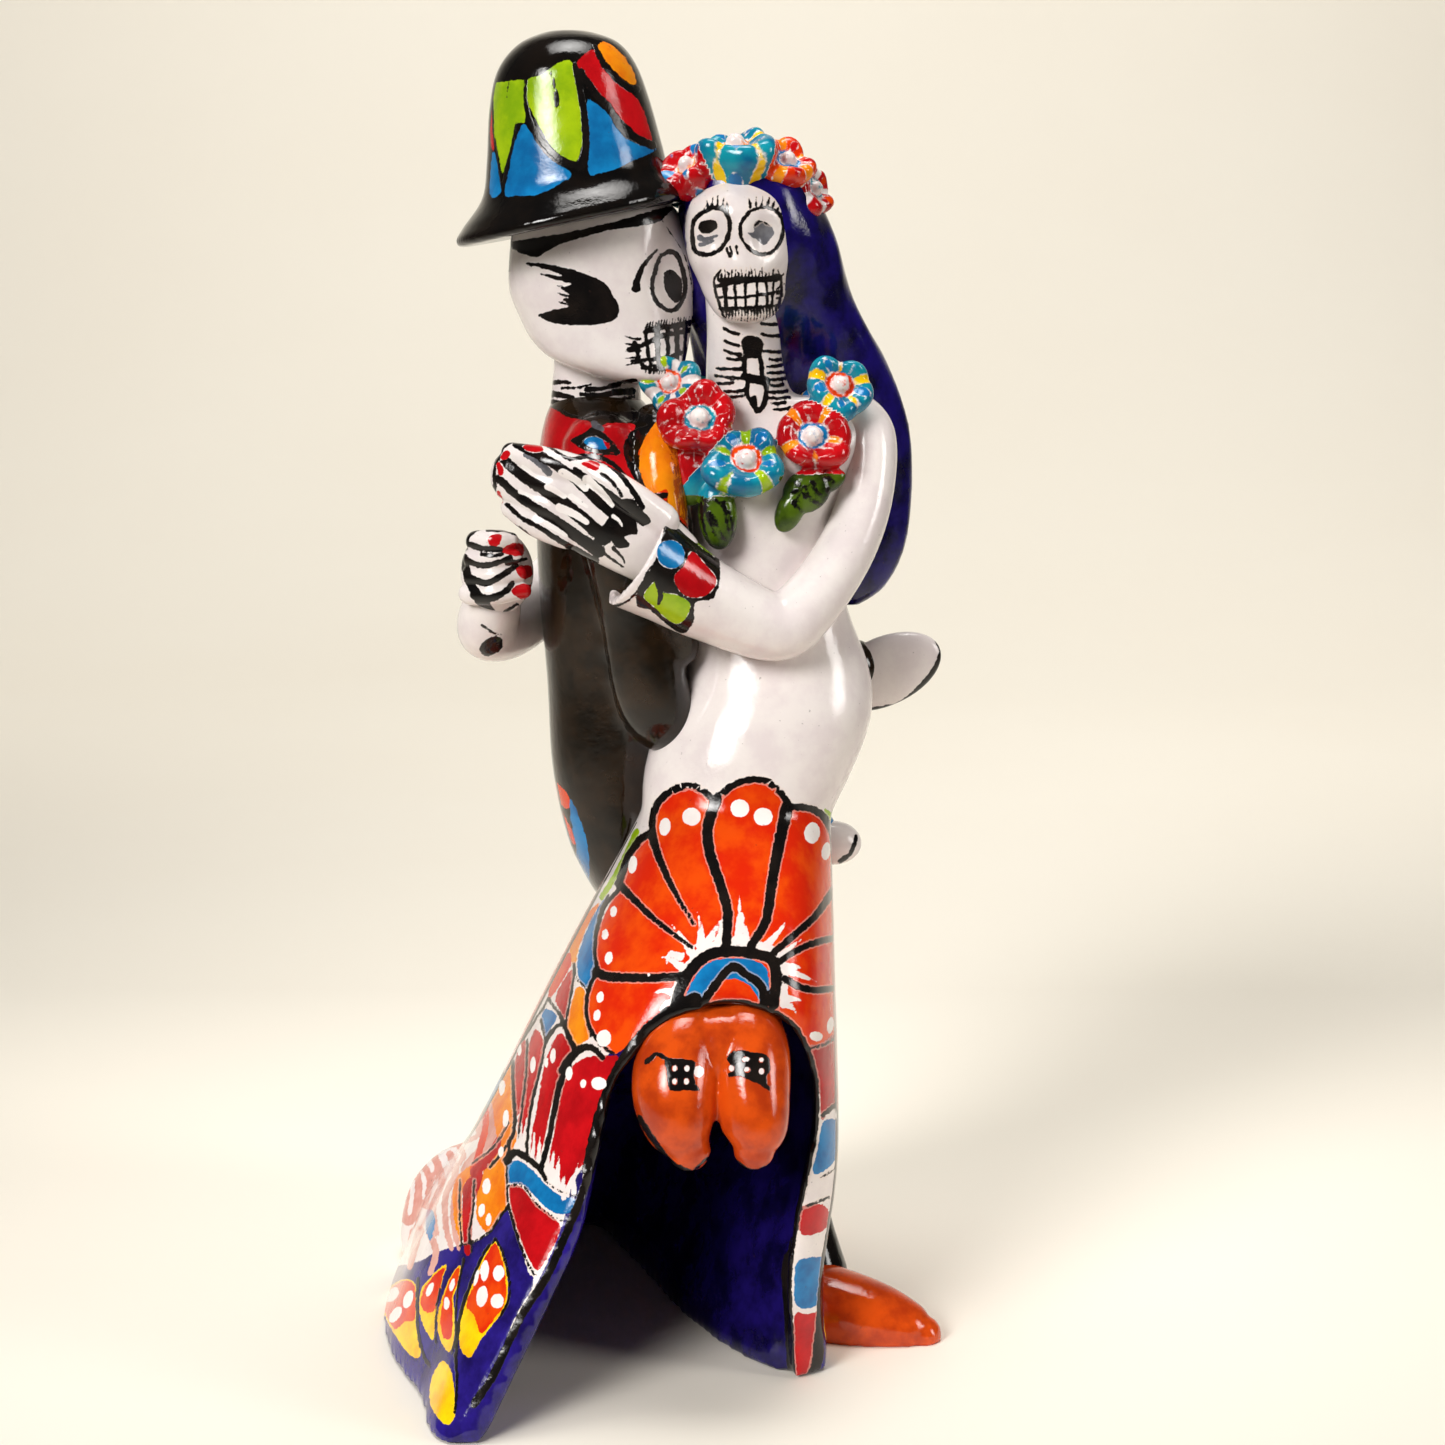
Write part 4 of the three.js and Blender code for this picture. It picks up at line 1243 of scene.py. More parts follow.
def bride_shoes():
    """The two shoes that hang below the lifted front of the skirt, joined at the top."""
    joined = egg((-0.5, -40, 76), (13.5, 11, 11.5), 0, 48)
    left = limb([
        (-5, -36, 84, 7.5), (-8.5, -43, 77, 9.3), (-9.8, -48, 70, 9.2), (-8.8, -51, 63.5, 7.6),
        (-7, -52, 58.8, 4.6),
    ], 48, 60)
    right = limb([
        (4, -36, 84, 7.5), (5.5, -43, 77, 8.6), (6.2, -48, 69, 8), (6.8, -51, 62.5, 6.8),
        (6.6, -52, 58.8, 4.4),
    ], 48, 60)
    return Clay(mesh_of("shoes", [joined, left, right]), "shoes")


# [place, facing, radius, turn, seed] of every flower, and its paints: petals, hollows, streaks, ring
CROWN = (
    ((2.7, -3, 264), (0, -0.3, 1), 8.4, 56, 1), ((-7, -2, 260.5), (-0.6, -0.6, 0.8), 6.8, 50, 2),
    ((13.5, -1.5, 261.5), (0.4, -0.7, 0.8), 6.6, 80, 3), ((19, 3.5, 256), (0.9, -0.5, 0.5), 6.2, 10, 4),
    ((4, 13, 262), (0, 0.7, 0.8), 7.2, 0, 6), ((14, 12, 258), (0.7, 0.6, 0.6), 6.6, 40, 7),
    ((-6, 11, 259), (-0.7, 0.6, 0.6), 6.6, 30, 8),
)
CROWN_PAINTS = (
    ("teal", "blue", "yellow", "amber"), ("red", "blue", "red", "amber"), ("orange", "red", "amber", "blue"),
    ("red", "orange", "white", "teal"), ("teal", "blue", "yellow", "orange"),
    ("red", "orange", "amber", "blue"),
    ("teal", "blue", "lime", "orange"),
)
COLLAR = (
    ((25, -6.5, 214.3), (0.2, -0.9, 0.45), 7.4, 62, 11), ((19, -11, 203.8), (0.1, -0.95, 0.3), 8, 30, 12),
    ((5, -15, 198.8), (0, -0.85, 0.5), 8.5, 54, 13), ((-5, -12, 207.5), (0, -0.9, 0.4), 8.4, 90, 14),
    ((-11, -6, 215), (-0.3, -0.9, 0.4), 6.8, 20, 15), ((24, 12, 210), (0.7, 0.7, 0.3), 7, 15, 16),
    ((-3, 15.5, 209), (-0.3, 1, 0.2), 7.4, 75, 17), ((11, 16.5, 206), (0.1, 1, 0.1), 8, 40, 18),
)
COLLAR_PAINTS = (
    ("teal", "blue", "yellow", "orange"), ("red", "red", "amber", "blue"), ("teal", "blue", "lime", "orange"),
    ("red", "red", "red", "teal"), ("teal", "lime", "white", "orange"), ("teal", "blue", "yellow", "orange"),
    ("teal", "blue", "lime", "orange"), ("red", "red", "amber", "blue"),
)


def flower_clay(flowers, leaves=()):
    parts = [part for spec in flowers for part in flower(*spec)]
    return Clay(mesh_of("flowers", [*parts, *leaves]), "flowers")


def leaves():
    return (
        egg((-1, -13.5, 187.5), (4.2, 3, 7.6), 4), egg((18, -12.5, 192.5), (5.4, 2.4, 4.6), 30),
        egg((14.5, -13, 188.5), (3, 2.2, 5.2), -24), egg((23.5, -11.5, 194.5), (3.4, 1.8, 2), 35, 24),
        egg((-6.2, -11, 197), (4.6, 3.2, 8), -8),
    )


# The groom's parts

def groom_skull():
    skull = column([
        (214.8, -16, -1, 4, 4), (216.5, -18.5, 0, 9.5, 8.5), (220, -22.5, 3, 14.5, 12.5),
        (224, -24.5, 6, 17.2, 15), (229, -25.5, 7.5, 19, 16), (235, -26.4, 8, 20.3, 16.6),
        (243, -26.3, 8, 20.2, 16.5), (250, -27, 8, 18.5, 15.5), (254, -28, 8, 16, 14),
    ], 96, 60)
    neck = limb([(-28, 11, 200, 11.5), (-28, 11, 211, 10), (-27.5, 10, 222, 9.5), (-27, 9, 232, 9.5)], 48, 30)
    clay = Clay(mesh_of("skull", [skull, neck]), "groom_skull")
    clay.dent((-11.5, -5.5, 240), (3.6, 5, 6.2), 1.8)
    clay.dent((-8, 16, 240), (5, 5, 6), 1.8)
    clay.dent((-7, 2, 236), (3, 3, 4), -0.8)  # nose
    clay.refine(facing(clay) > 0.05)
    return clay


def groom_hat():
    BRIM_TILT = 11.6  # the brim's left side hangs lower
    crown = column([
        (249.5, -32, 5, 14, 14, BRIM_TILT), (248.8, -32.5, 5, 23, 22.5, BRIM_TILT),
        (250.2, -32.6, 5, 25.2, 24.3, BRIM_TILT), (252.8, -32.4, 5, 24, 22.5, BRIM_TILT),
        (257.5, -31.8, 5.5, 20.3, 19.5, 9), (264, -32, 6, 19, 18.5, 5), (274, -33, 7, 17.4, 17, 3),
        (282, -33.6, 7, 15, 15, 3), (287, -33.4, 7, 11, 11, 2), (289.4, -33, 7, 5.5, 5.5, 0),
        (290, -33, 7, 0.8, 0.8, 0),
    ], 120, 100)
    return Clay(mesh_of("hat", [crown]), "groom_hat")


def groom_coat():
    coat = column([
        (90, -16, 21, 4, 8), (95, -18, 20, 9.5, 15), (103, -20.5, 19, 12, 18.5), (112, -22.8, 18, 13.2, 19.5),
        (128, -25.5, 16, 13.4, 19), (148, -25, 15, 14.8, 19.2), (170, -25, 14, 16.4, 21.5),
        (190, -25.3, 14, 16.4, 23.5), (202, -26.5, 13, 14, 22), (209, -27.5, 12, 11, 15),
        (212.5, -28, 11, 8, 9),
    ], 110, 90)
    right = limb([
        (-26, -4, 200, 9), (-22, -9, 184, 9), (-18, -8, 165, 8.6), (-14, -5, 144, 8.2), (-3, 8, 139, 7.6),
        (14, 21, 143, 7.2), (30, 23, 149, 6.5),
    ], 44, 80)
    left = limb([
        (-27, 22, 201, 8), (-21, 34, 193, 9), (-12, 42, 174, 8.6), (-3, 43, 150, 8), (7, 36, 128, 7.4),
        (21, 26.5, 109, 6),
    ], 40, 60)
    lapel = limb([
        (-15, -5, 207, 4), (-13.5, -10, 198, 5.2), (-12.5, -12, 186, 5.2), (-11, -11.5, 172, 4.6),
        (-9, -8, 158, 4),
    ], 32, 40)
    clay = Clay(mesh_of("coat", [coat, right, left, lapel]), "groom_coat")
    clay.refine((clay.co[:, 2] > 184) & (clay.co[:, 1] < 10) & (facing(clay) > 0))
    return clay


def groom_hands():
    right = egg((37, 22, 148), (14, 3.4, 8), 24, 48)
    left = egg((25.5, 25.5, 107), (7, 5, 5.2), 0, 36)
    return Clay(mesh_of("hands", [right, left]), "groom_hands")


def groom_legs():
    right = limb(
        [(-12, 26, 114, 13), (-2, 27, 86, 12), (9, 20, 52, 9.5), (17, 7, 27, 6.8), (20.5, 2, 10, 8.6)], 40,
        60,
    )
    left = limb(
        [(-12, 32, 112, 13), (-6, 42, 84, 12), (-4, 52, 48, 9.5), (-6, 57, 26, 8), (-6, 58, 10, 8.2)], 40, 60,
    )
    return Clay(mesh_of("legs", [right, left]), "groom_legs")


def groom_shoes():
    """Pointed shoes whose heels stand at a place and whose toes point to +X, turned by some degrees."""
    def shoe(x, y, turn):
        points, faces = limb([
            (-4, 0, 4, 6), (5, 0, 5.5, 9.3), (13, 0, 4.4, 9.6), (22, 0, 3, 8.4), (29, 0, 1.8, 6.2),
            (31.5, 0, 1.2, 4.4),
        ], 48, 60)
        t = math.radians(turn)
        turned = np.stack([
            points[:, 0] * math.cos(t) - points[:, 1] * math.sin(t) + x,
            points[:, 0] * math.sin(t) + points[:, 1] * math.cos(t) + y, points[:, 2],
        ], -1)
        return turned, faces
    both = combined(mesh_of("shoe", [shoe(15, -3, -16)]), mesh_of("shoe", [shoe(-10, 58, 0)]))
    return Clay(combined(both, mesh_of("floor", [floor_block()]), "DIFFERENCE"), "groom_shoes")


# Looks

def stage():
    """A pale floor that runs up into the background."""
    width, front, back, height, radius = 3.0, -1.2, 1.6, 2.2, 0.7
    profile = [(front, 0.0), (back - radius, 0.0)]
    for a in np.linspace(0, math.pi / 2, 16)[1:]:
        profile.append((back - radius + radius * math.sin(a), radius - radius * math.cos(a)))
    profile.append((back, height))
    mesh = bpy.data.meshes.new("floor")
    points = [(x, y, z) for x in (-width, width) for y, z in profile]
    n = len(profile)
    mesh.from_pydata(points, [], [(i, n + i, n + i + 1, i + 1) for i in range(n - 1)])
    mesh.polygons.foreach_set("use_smooth", np.ones(n - 1, bool))
    floor = bpy.data.objects.new("floor", mesh)
    bpy.context.scene.collection.objects.link(floor)
    nodes = Nodes("floor")
    shader = nodes.add("ShaderNodeBsdfPrincipled")
    nodes.link(
        nodes.mix(nodes.noise(0.004), srgb(250, 245, 233), srgb(247, 240, 226)), shader.inputs["Base Color"],
    )
    shader.inputs["Roughness"].default_value = 0.75
    out = nodes.add("ShaderNodeOutputMaterial")
    nodes.link(shader.outputs["BSDF"], out.inputs["Surface"])
    mesh.materials.append(nodes.material)


def area_light(name, place, target, size, watts, spread, colour):
    data = bpy.data.lights.new(name, "AREA")
    data.shape = "RECTANGLE"
    data.size, data.size_y = size
    data.energy = watts
    data.color = colour
    data.spread = math.radians(spread)
    light = bpy.data.objects.new(name, data)
    light.location = place
    light.rotation_euler = (Vector(target) - Vector(place)).to_track_quat("-Z", "Y").to_euler()
    bpy.context.scene.collection.objects.link(light)


FIGURINE_MIDDLE = (0.0, 0.0, 0.15)
# [name, place, target, size in m, watts, spread in degrees, colour]
LAMPS = (
    ("key", (-0.6, -0.85, 0.75), FIGURINE_MIDDLE, (0.6, 0.6), 1.1, 34, (1.0, 0.98, 0.96)),
    ("window", (0.95, -0.35, 0.5), FIGURINE_MIDDLE, (0.3, 0.9), 0.4, 36, (1.0, 0.97, 0.94)),
    ("top", (0.0, 0.1, 1.3), (0.0, 0.1, 0.0), (0.8, 0.6), 1.35, 50, (1.0, 0.98, 0.95)),
    ("backdrop", (0.0, 0.5, 0.8), (0.0, 1.6, 0.5), (1.8, 0.3), 14, 180, (1.0, 0.98, 0.95)),
)


def lights():
    for lamp in LAMPS:
        area_light(*lamp)
    world = bpy.context.scene.world or bpy.data.worlds.new("world")
    bpy.context.scene.world = world
    world.use_nodes = True
    background = world.node_tree.nodes.get("Background") or world.node_tree.nodes.new("ShaderNodeBackground")
    background.inputs["Color"].default_value = (1.0, 0.96, 0.9, 1.0)
    background.inputs["Strength"].default_value = 0.05
    bpy.context.scene.view_settings.view_transform = "Standard"


def camera():
    data = bpy.data.cameras.new("camera")
    data.sensor_width = 36.0
    data.lens = FOCAL_PX / PHOTO_SIZE * data.sensor_width
    data.clip_start, data.clip_end = 0.01, 20.0
    eye = bpy.data.objects.new("camera", data)
    eye.location = (EYE - FOOTPRINT_MIDDLE) * MM
    eye.rotation_euler = (math.pi / 2 - PITCH, 0, 0)
    bpy.context.scene.collection.objects.link(eye)
    bpy.context.scene.camera = eye


def paint_bride_sleeves(piece):
    """The painted cuff, and the brown dot below the other hand."""
    c = piece.front().zoom(*HANDS_WINDOW)
    c.patch(
        "ink", (728, 318), (775, 303), (830, 348), (912, 440), (926, 540), (902, 612), (842, 626), (836, 692),
        (800, 732), (745, 702), (690, 655), (645, 640), (640, 600), (662, 550), (694, 500), (722, 430),
        (732, 370),
    )
    blue = ((710, 452), (730, 418), (770, 414), (802, 442), (800, 490), (762, 510), (722, 492))
    red = ((768, 540), (800, 500), (830, 450), (872, 490), (916, 550), (882, 600), (830, 610), (790, 590))
    lime = (
        ((768, 322), (800, 340), (862, 400), (914, 466), (880, 452), (820, 400), (778, 352)),
        ((664, 602), (710, 550), (732, 590), (780, 600), (824, 630), (812, 676), (780, 700), (740, 680),
         (700, 642)),
    )
    for outline in (blue, red, *lime):
        c.wipe(["ink"], *outline)
    c.patch("blue", *blue)
    c.patch("red", *red)
    c.patches("lime", *lime)
    c.stroke("ink", 9, 8, (552, 640), (604, 624), (640, 590), (668, 540), (690, 500))
    c.stroke("ink", 26, 12, (716, 560), (722, 600), (716, 630))
    c = c.piece.front().zoom(*NECK_WINDOW)
    c.patch("ink", (196, 1330), (200, 1300), (240, 1262), (290, 1258), (308, 1290), (290, 1330), (230, 1352))
    c.stroke("ink", 12, 8, (205, 1200), (260, 1238), (300, 1246))


def paint_bride_hands(piece):
    """Bones, in black with white dashes, and red nails."""
    c = piece.front().zoom(*HANDS_WINDOW, bold=1.4)
    RAISED_BONES = (
        (24, 26, (232, 84), (330, 135), (420, 195), (510, 280), (590, 350)),
        (24, 36, (185, 135), (240, 185), (300, 225), (370, 270), (450, 335), (530, 405)),
        (18, 32, (165, 200), (225, 255), (300, 305), (360, 345), (430, 395), (510, 450)),
        (10, 18, (195, 290), (245, 335), (310, 370), (370, 410), (440, 450), (500, 485)),
        (14, 26, (430, 170), (490, 215), (550, 260), (610, 315)),
        (10, 14, (410, 135), (470, 128), (540, 150), (590, 195), (635, 255), (660, 300)),
        (10, 8, (520, 185), (560, 215), (590, 260)),
        (9, 8, (154, 245), (152, 180), (170, 115), (205, 78), (260, 64), (330, 86), (400, 130)),
        (9, 4, (520, 450), (560, 480), (595, 505)), (9, 4, (560, 440), (590, 470), (600, 490)),
        (8, 8, (560, 165), (600, 200), (640, 262)),
    )
    c.strokes("ink", *RAISED_BONES)
    c.patch(
        "ink", (560, 285), (620, 270), (650, 300), (690, 345), (660, 365), (640, 350), (644, 390), (600, 400),
        (620, 430), (580, 440), (540, 405), (520, 430), (480, 450), (500, 400), (540, 340),
    )
    DASHES = (
        (20, 14, (385, 180), (430, 205), (465, 236)), (16, 12, (335, 228), (365, 245), (392, 262)),
        (24, 12, (470, 205), (520, 250), (556, 292)), (20, 14, (375, 300), (430, 325), (468, 350)),
        (10, 8, (250, 160), (290, 190), (316, 204)), (12, 8, (300, 268), (324, 280), (340, 292)),
        (14, 8, (415, 262), (445, 280), (470, 298)), (10, 6, (240, 245), (280, 262), (300, 280)),
        (14, 8, (330, 355), (370, 378), (400, 398)), (10, 6, (560, 330), (580, 345), (590, 362)),
    )
    c.strokes("dot", *DASHES)
    c.stroke("grey", 16, 20, (262, 118), (310, 150), (338, 180))
    c.stroke("grey", 12, 14, (262, 215), (290, 228), (304, 222))
    for nail in (
        ((250, 88), (290, 80), (322, 100), (300, 112), (264, 106)),
        ((172, 128), (190, 104), (206, 112), (198, 132), (180, 138)),
        ((158, 152), (172, 146), (184, 180), (170, 192)), ((160, 246), (172, 246), (182, 280), (168, 282)),
        ((452, 148), (484, 138), (514, 152), (506, 172), (478, 168)),
        ((128, 412), (150, 392), (176, 396), (168, 426), (150, 438)),
        ((174, 448), (210, 424), (248, 428), (252, 462), (212, 466)),
        ((224, 512), (240, 498), (276, 500), (282, 532), (250, 546)),
        ((212, 590), (232, 566), (280, 566), (292, 600), (250, 616)),
    ):
        c.wipe(["ink", "grey", "dot"], *nail)
        c.patch("red", *nail)
    GRIPPING_BONES = (
        (14, 10, (52, 440), (60, 400), (100, 370), (160, 353), (230, 368), (282, 410)),
        (16, 14, (58, 424), (110, 440), (172, 444)), (16, 12, (60, 482), (112, 500), (170, 486), (208, 470)),
        (18, 14, (70, 540), (122, 560), (180, 532), (226, 500)),
        (22, 14, (84, 600), (132, 612), (186, 590), (214, 560)),
        (18, 30, (48, 470), (62, 540), (92, 600), (124, 642), (146, 680)),
        (13, 10, (288, 430), (300, 480), (300, 540), (284, 566)),
        (12, 10, (130, 376), (190, 378), (250, 396)), (12, 8, (120, 660), (160, 680), (200, 650), (232, 632)),
        (14, 8, (200, 490), (222, 486), (262, 476)), (12, 6, (80, 690), (130, 716), (190, 740)),
        (10, 8, (110, 460), (150, 466), (180, 460)),
    )
    c.strokes("ink", *GRIPPING_BONES)


def paint_bride_skull(piece):
    """The painted face: ringed eyes with lashes, nose and teeth."""
    c = piece.front().zoom(*FACES_WINDOW, bold=1.55)
    c.patch(
        "cobalt", (100, 1100), (255, 1000), (252, 700), (272, 600), (322, 510), (400, 476), (500, 462),
        (600, 466), (700, 486), (770, 540), (812, 600), (846, 720), (862, 820), (842, 950), (820, 1080),
        (1000, 1100), (1000, 300), (600, 200), (100, 300),
    )
    for width, points in (
        (17,
         ((405, 602), (336, 640), (298, 690), (296, 780), (312, 848), (380, 866), (440, 842), (488, 780),
          (502, 700), (482, 632), (440, 604), (400, 604))),
        (14,
         ((680, 600), (622, 622), (576, 670), (560, 722), (572, 782), (622, 840), (690, 866), (750, 842),
          (790, 782), (802, 700), (782, 642), (732, 606), (680, 600))),
    ):
        c.stroke("ink", width, width, *points)
    for x, y, u, v in (
        (378, 605, 375, 562), (405, 594, 408, 545), (434, 592, 436, 538), (462, 602, 470, 545),
        (486, 622, 486, 568), (618, 602, 612, 550), (650, 592, 650, 545), (682, 590, 688, 538),
        (712, 592, 724, 548), (740, 606, 756, 562), (766, 620, 782, 588), (786, 645, 804, 622),
        (345, 640, 372, 590),
    ):
        c.stroke("ink", 12, 3, (x, y), ((x + u) / 2, (y + v) / 2), (u, v))
    c.patch("ink", (326, 712), (345, 680), (385, 672), (425, 678), (432, 715), (400, 740), (350, 748))
    c.stroke("grey", 22, 10, (336, 770), (370, 780), (430, 760))
    c.stroke("grey", 14, 8, (336, 812), (380, 800), (410, 790))
    # a grey patch inside the right eye: a painted reflection
    c.patch(
        "grey", (600, 745), (636, 735), (640, 690), (680, 676), (740, 708), (750, 748), (720, 790),
        (690, 812), (650, 780),
    )
    c.stroke("ink", 8, 5, (644, 700), (680, 680), (732, 706))
    c.stroke("ink", 10, 12, (486, 828), (490, 846), (498, 868))
    c.stroke("ink", 8, 16, (504, 820), (512, 850), (504, 872))
    c.stroke("ink", 12, 8, (540, 822), (542, 845), (548, 862))
    TEETH = (
        (14, 14, (430, 1042), (520, 1024), (620, 1014), (765, 1008)),
        (11, 11, (432, 1106), (560, 1106), (680, 1090), (795, 1068)),
        (12, 12, (446, 1168), (560, 1166), (680, 1158), (775, 1150)),
        (10, 12, (452, 952), (416, 1010), (430, 1100), (472, 1222)),
        (17, 15, (474, 1030), (478, 1100), (484, 1180)), (12, 10, (530, 1022), (534, 1100), (538, 1180)),
        (12, 10, (590, 1016), (590, 1090), (592, 1166)), (11, 10, (655, 1014), (656, 1080), (656, 1160)),
        (11, 10, (706, 1010), (710, 1080), (712, 1154)), (10, 10, (746, 1010), (744, 1080), (740, 1150)),
        (16, 18, (446, 1010), (530, 1004), (620, 1000), (700, 1000), (778, 986)),
        (12, 12, (790, 1000), (792, 1080), (776, 1160)),
    )
    c.strokes("ink", *TEETH)
    for i in range(19):
        x = 436 + 19 * i
        top = 945 + 14 * math.sin(i * 2.3) + 0.0006 * (x - 610) ** 2
        c.stroke("ink", 11, 2, (x, 1005), (x + 3, 975), (x + 8 * math.sin(i * 1.7), top))
    for i in range(18):
        x = 462 + 17.5 * i
        c.stroke(
            "ink", 10, 3, (x, 1166), (x + 4, 1196),
            (x + 2 * math.sin(i * 2.1), 1236 - 0.0008 * (x - 600) ** 2),
        )
    for y, v in ((1006, 975), (1060, 1030), (1085, 1085), (1110, 1098), (1150, 1162)):
        c.stroke("ink", 9, 3, (765, y), (785, (y + v) / 2), (806, v))


# The groom's head unrolled, as the skirt's outside is
HEAD_AXIS, HEAD_UNROLLED = (-26, 8), 20
HEAD_RIGHT, HEAD_LEFT = ((34, 190), (34, 262)), ((96, 190), (96, 262))
HAIRLINE = 244


def paint_groom_skull(piece):
    """The painted face seen half from the side, a dark band under the brim, and the neck's strokes."""
    c = piece.front().zoom(*HEAD_WINDOW)
    # a dark band on the head right under the brim
    c.patch(
        "ink", (398, 1120), (640, 1080), (900, 1020), (1150, 950), (1130, 1000), (1080, 1030), (960, 1050),
        (850, 1065), (760, 1092), (660, 1122), (600, 1150), (545, 1182), (500, 1180), (450, 1160),
    )
    c.patch(
        "ink", (690, 1244), (762, 1262), (850, 1304), (886, 1355), (916, 1412), (908, 1466), (850, 1490),
        (760, 1500), (660, 1496), (590, 1482), (556, 1458), (620, 1436), (690, 1412), (660, 1380),
        (700, 1366), (650, 1330), (700, 1306), (650, 1278),
    )
    EYES = (
        (12, 40, (490, 1215), (580, 1228), (700, 1262)), (8, 34, (560, 1264), (640, 1282), (740, 1300)),
        (6, 26, (634, 1318), (700, 1334), (760, 1350)), (5, 24, (636, 1350), (700, 1372), (760, 1384)),
        (5, 22, (640, 1392), (700, 1406), (760, 1410)), (8, 60, (548, 1454), (640, 1440), (740, 1436)),
        (8, 40, (1092, 1152), (1040, 1210), (1005, 1275), (996, 1330)),
        (20, 24, (1146, 1160), (1108, 1185), (1084, 1250), (1070, 1330), (1098, 1400), (1160, 1432),
         (1206, 1390), (1222, 1310), (1202, 1210), (1176, 1168), (1146, 1160)),
        (3, 4, (1118, 1020), (1160, 1080), (1220, 1180), (1250, 1300), (1262, 1420), (1262, 1540)),
    )
    c.strokes("ink", *EYES)
    c.patch(
        "ink", (1130, 1252), (1168, 1246), (1206, 1296), (1208, 1360), (1186, 1398), (1150, 1372),
        (1124, 1310),
    )
    c.stroke("white", 10, 3, (1190, 1240), (1176, 1280), (1172, 1310))
    _, back = piece.halves(HEAD_AXIS, HEAD_UNROLLED, HEAD_RIGHT, HEAD_LEFT, piece.clay.co[:, 2] > HAIRLINE)
    back.band("ink", HAIRLINE + 2.5, 262)
    nape = piece.side(piece.clay.co[:, 1] > 4, piece.clay.co[:, [0, 2]])
    for x in np.arange(30, 100, 3.5):
        nape.stroke("ink", 3.4, 0.6, (x - 90, 250), (x - 89.6, 244), (x - 90.3, 239 + 2 * math.sin(x)))
    teeth = piece.front().zoom(*FACES_WINDOW, bold=1.9)
    TEETH = (
        (16, 14, (-60, 1400), (20, 1372), (120, 1322), (200, 1306), (280, 1290)),
        (13, 12, (-40, 1462), (60, 1452), (150, 1442), (270, 1402)),
        (12, 12, (30, 1300), (44, 1400), (60, 1490)), (16, 12, (96, 1290), (100, 1400), (108, 1500)),
        (14, 12, (152, 1280), (156, 1400), (160, 1500)), (20, 12, (206, 1270), (208, 1380), (206, 1490)),
        (14, 10, (254, 1260), (252, 1360), (246, 1470)), (14, 10, (-30, 1360), (-10, 1430), (20, 1500)),
        (16, 12, (30, 1300), (110, 1276), (200, 1262), (290, 1240)),
        (10, 8, (10, 1500), (100, 1510), (200, 1492), (262, 1450)),
    )
    teeth.strokes("ink", *TEETH)
    for i in range(17):
        x = 30 + 15.5 * i
        teeth.stroke(
            "ink", 9, 2, (x, 1290 - 0.12 * (x - 30)), (x + 9, 1268 - 0.12 * (x - 30)),
            (x + 14, 1240 - 0.12 * (x - 30)),
        )
        teeth.stroke(
            "ink", 8, 3, (x, 1490), (x + 2, 1512), (x + 3 * math.sin(i * 1.9), 1536 - 0.1 * abs(x - 110)),
        )
    for y in (1340, 1372, 1404, 1436, 1468):
        teeth.stroke("ink", 9, 3, (0, y), (-40, y + 2 + 0.1 * (y - 1400)), (-84, y + 0.3 * (y - 1400)))
    neck = piece.front().zoom(*NECK_WINDOW, bold=1.6)
    NECK_BONES = (
        (16, 10, (560, 12), (600, 10), (640, 14)), (22, 12, (556, 68), (600, 76), (650, 84)),
        (14, 22, (690, 70), (780, 76), (860, 60), (945, 56)), (18, 10, (720, 46), (790, 42), (880, 24)),
        (18, 10, (556, 108), (640, 122), (740, 136)), (18, 12, (556, 140), (620, 160), (720, 186)),
        (22, 12, (780, 142), (860, 126), (950, 110)), (10, 12, (830, 26), (900, 10), (960, 0)),
        (10, 8, (600, 40), (680, 36), (740, 20)), (12, 8, (800, 108), (870, 96), (950, 84)),
        (9, 7, (760, 160), (860, 150), (950, 136)),
    )
    neck.strokes("ink", *NECK_BONES)


def paint_hat_back(c):
    """The same petals and fields, repeated round the crown."""
    for x in np.arange(20, 110, 16.4):
        c.patch(
            "lime", (x - 6.4, 276), (x, 277.5), (x + 6.4, 276), (x + 5.6, 267), (x + 2.2, 261), (x, 259),
            (x - 2.6, 261), (x - 5.8, 267),
        )
        c.patch(
            "blue", (x + 8.2, 267), (x + 11.4, 262), (x + 14.6, 255.5), (x + 8.2, 254.3), (x + 1.8, 255.5),
            (x + 5, 262),
        )
        c.patch("red", (x + 8.2, 276.5), (x + 6.9, 272), (x + 8.2, 268.5), (x + 9.5, 272))
        c.stroke(
            "ink", 1.8, 2.2, (x - 7.2, 277.5), (x - 6.6, 267), (x, 256.8), (x + 6.6, 267), (x + 7.2, 277.5),
        )


# The hat's outside unrolled, as the skirt's is
HAT_AXIS, HAT_UNROLLED = (-32.5, 6), 19
HAT_RIGHT, HAT_LEFT = ((28, 240), (28, 266), (29, 292)), ((93.5, 240), (93.5, 266), (94, 292))


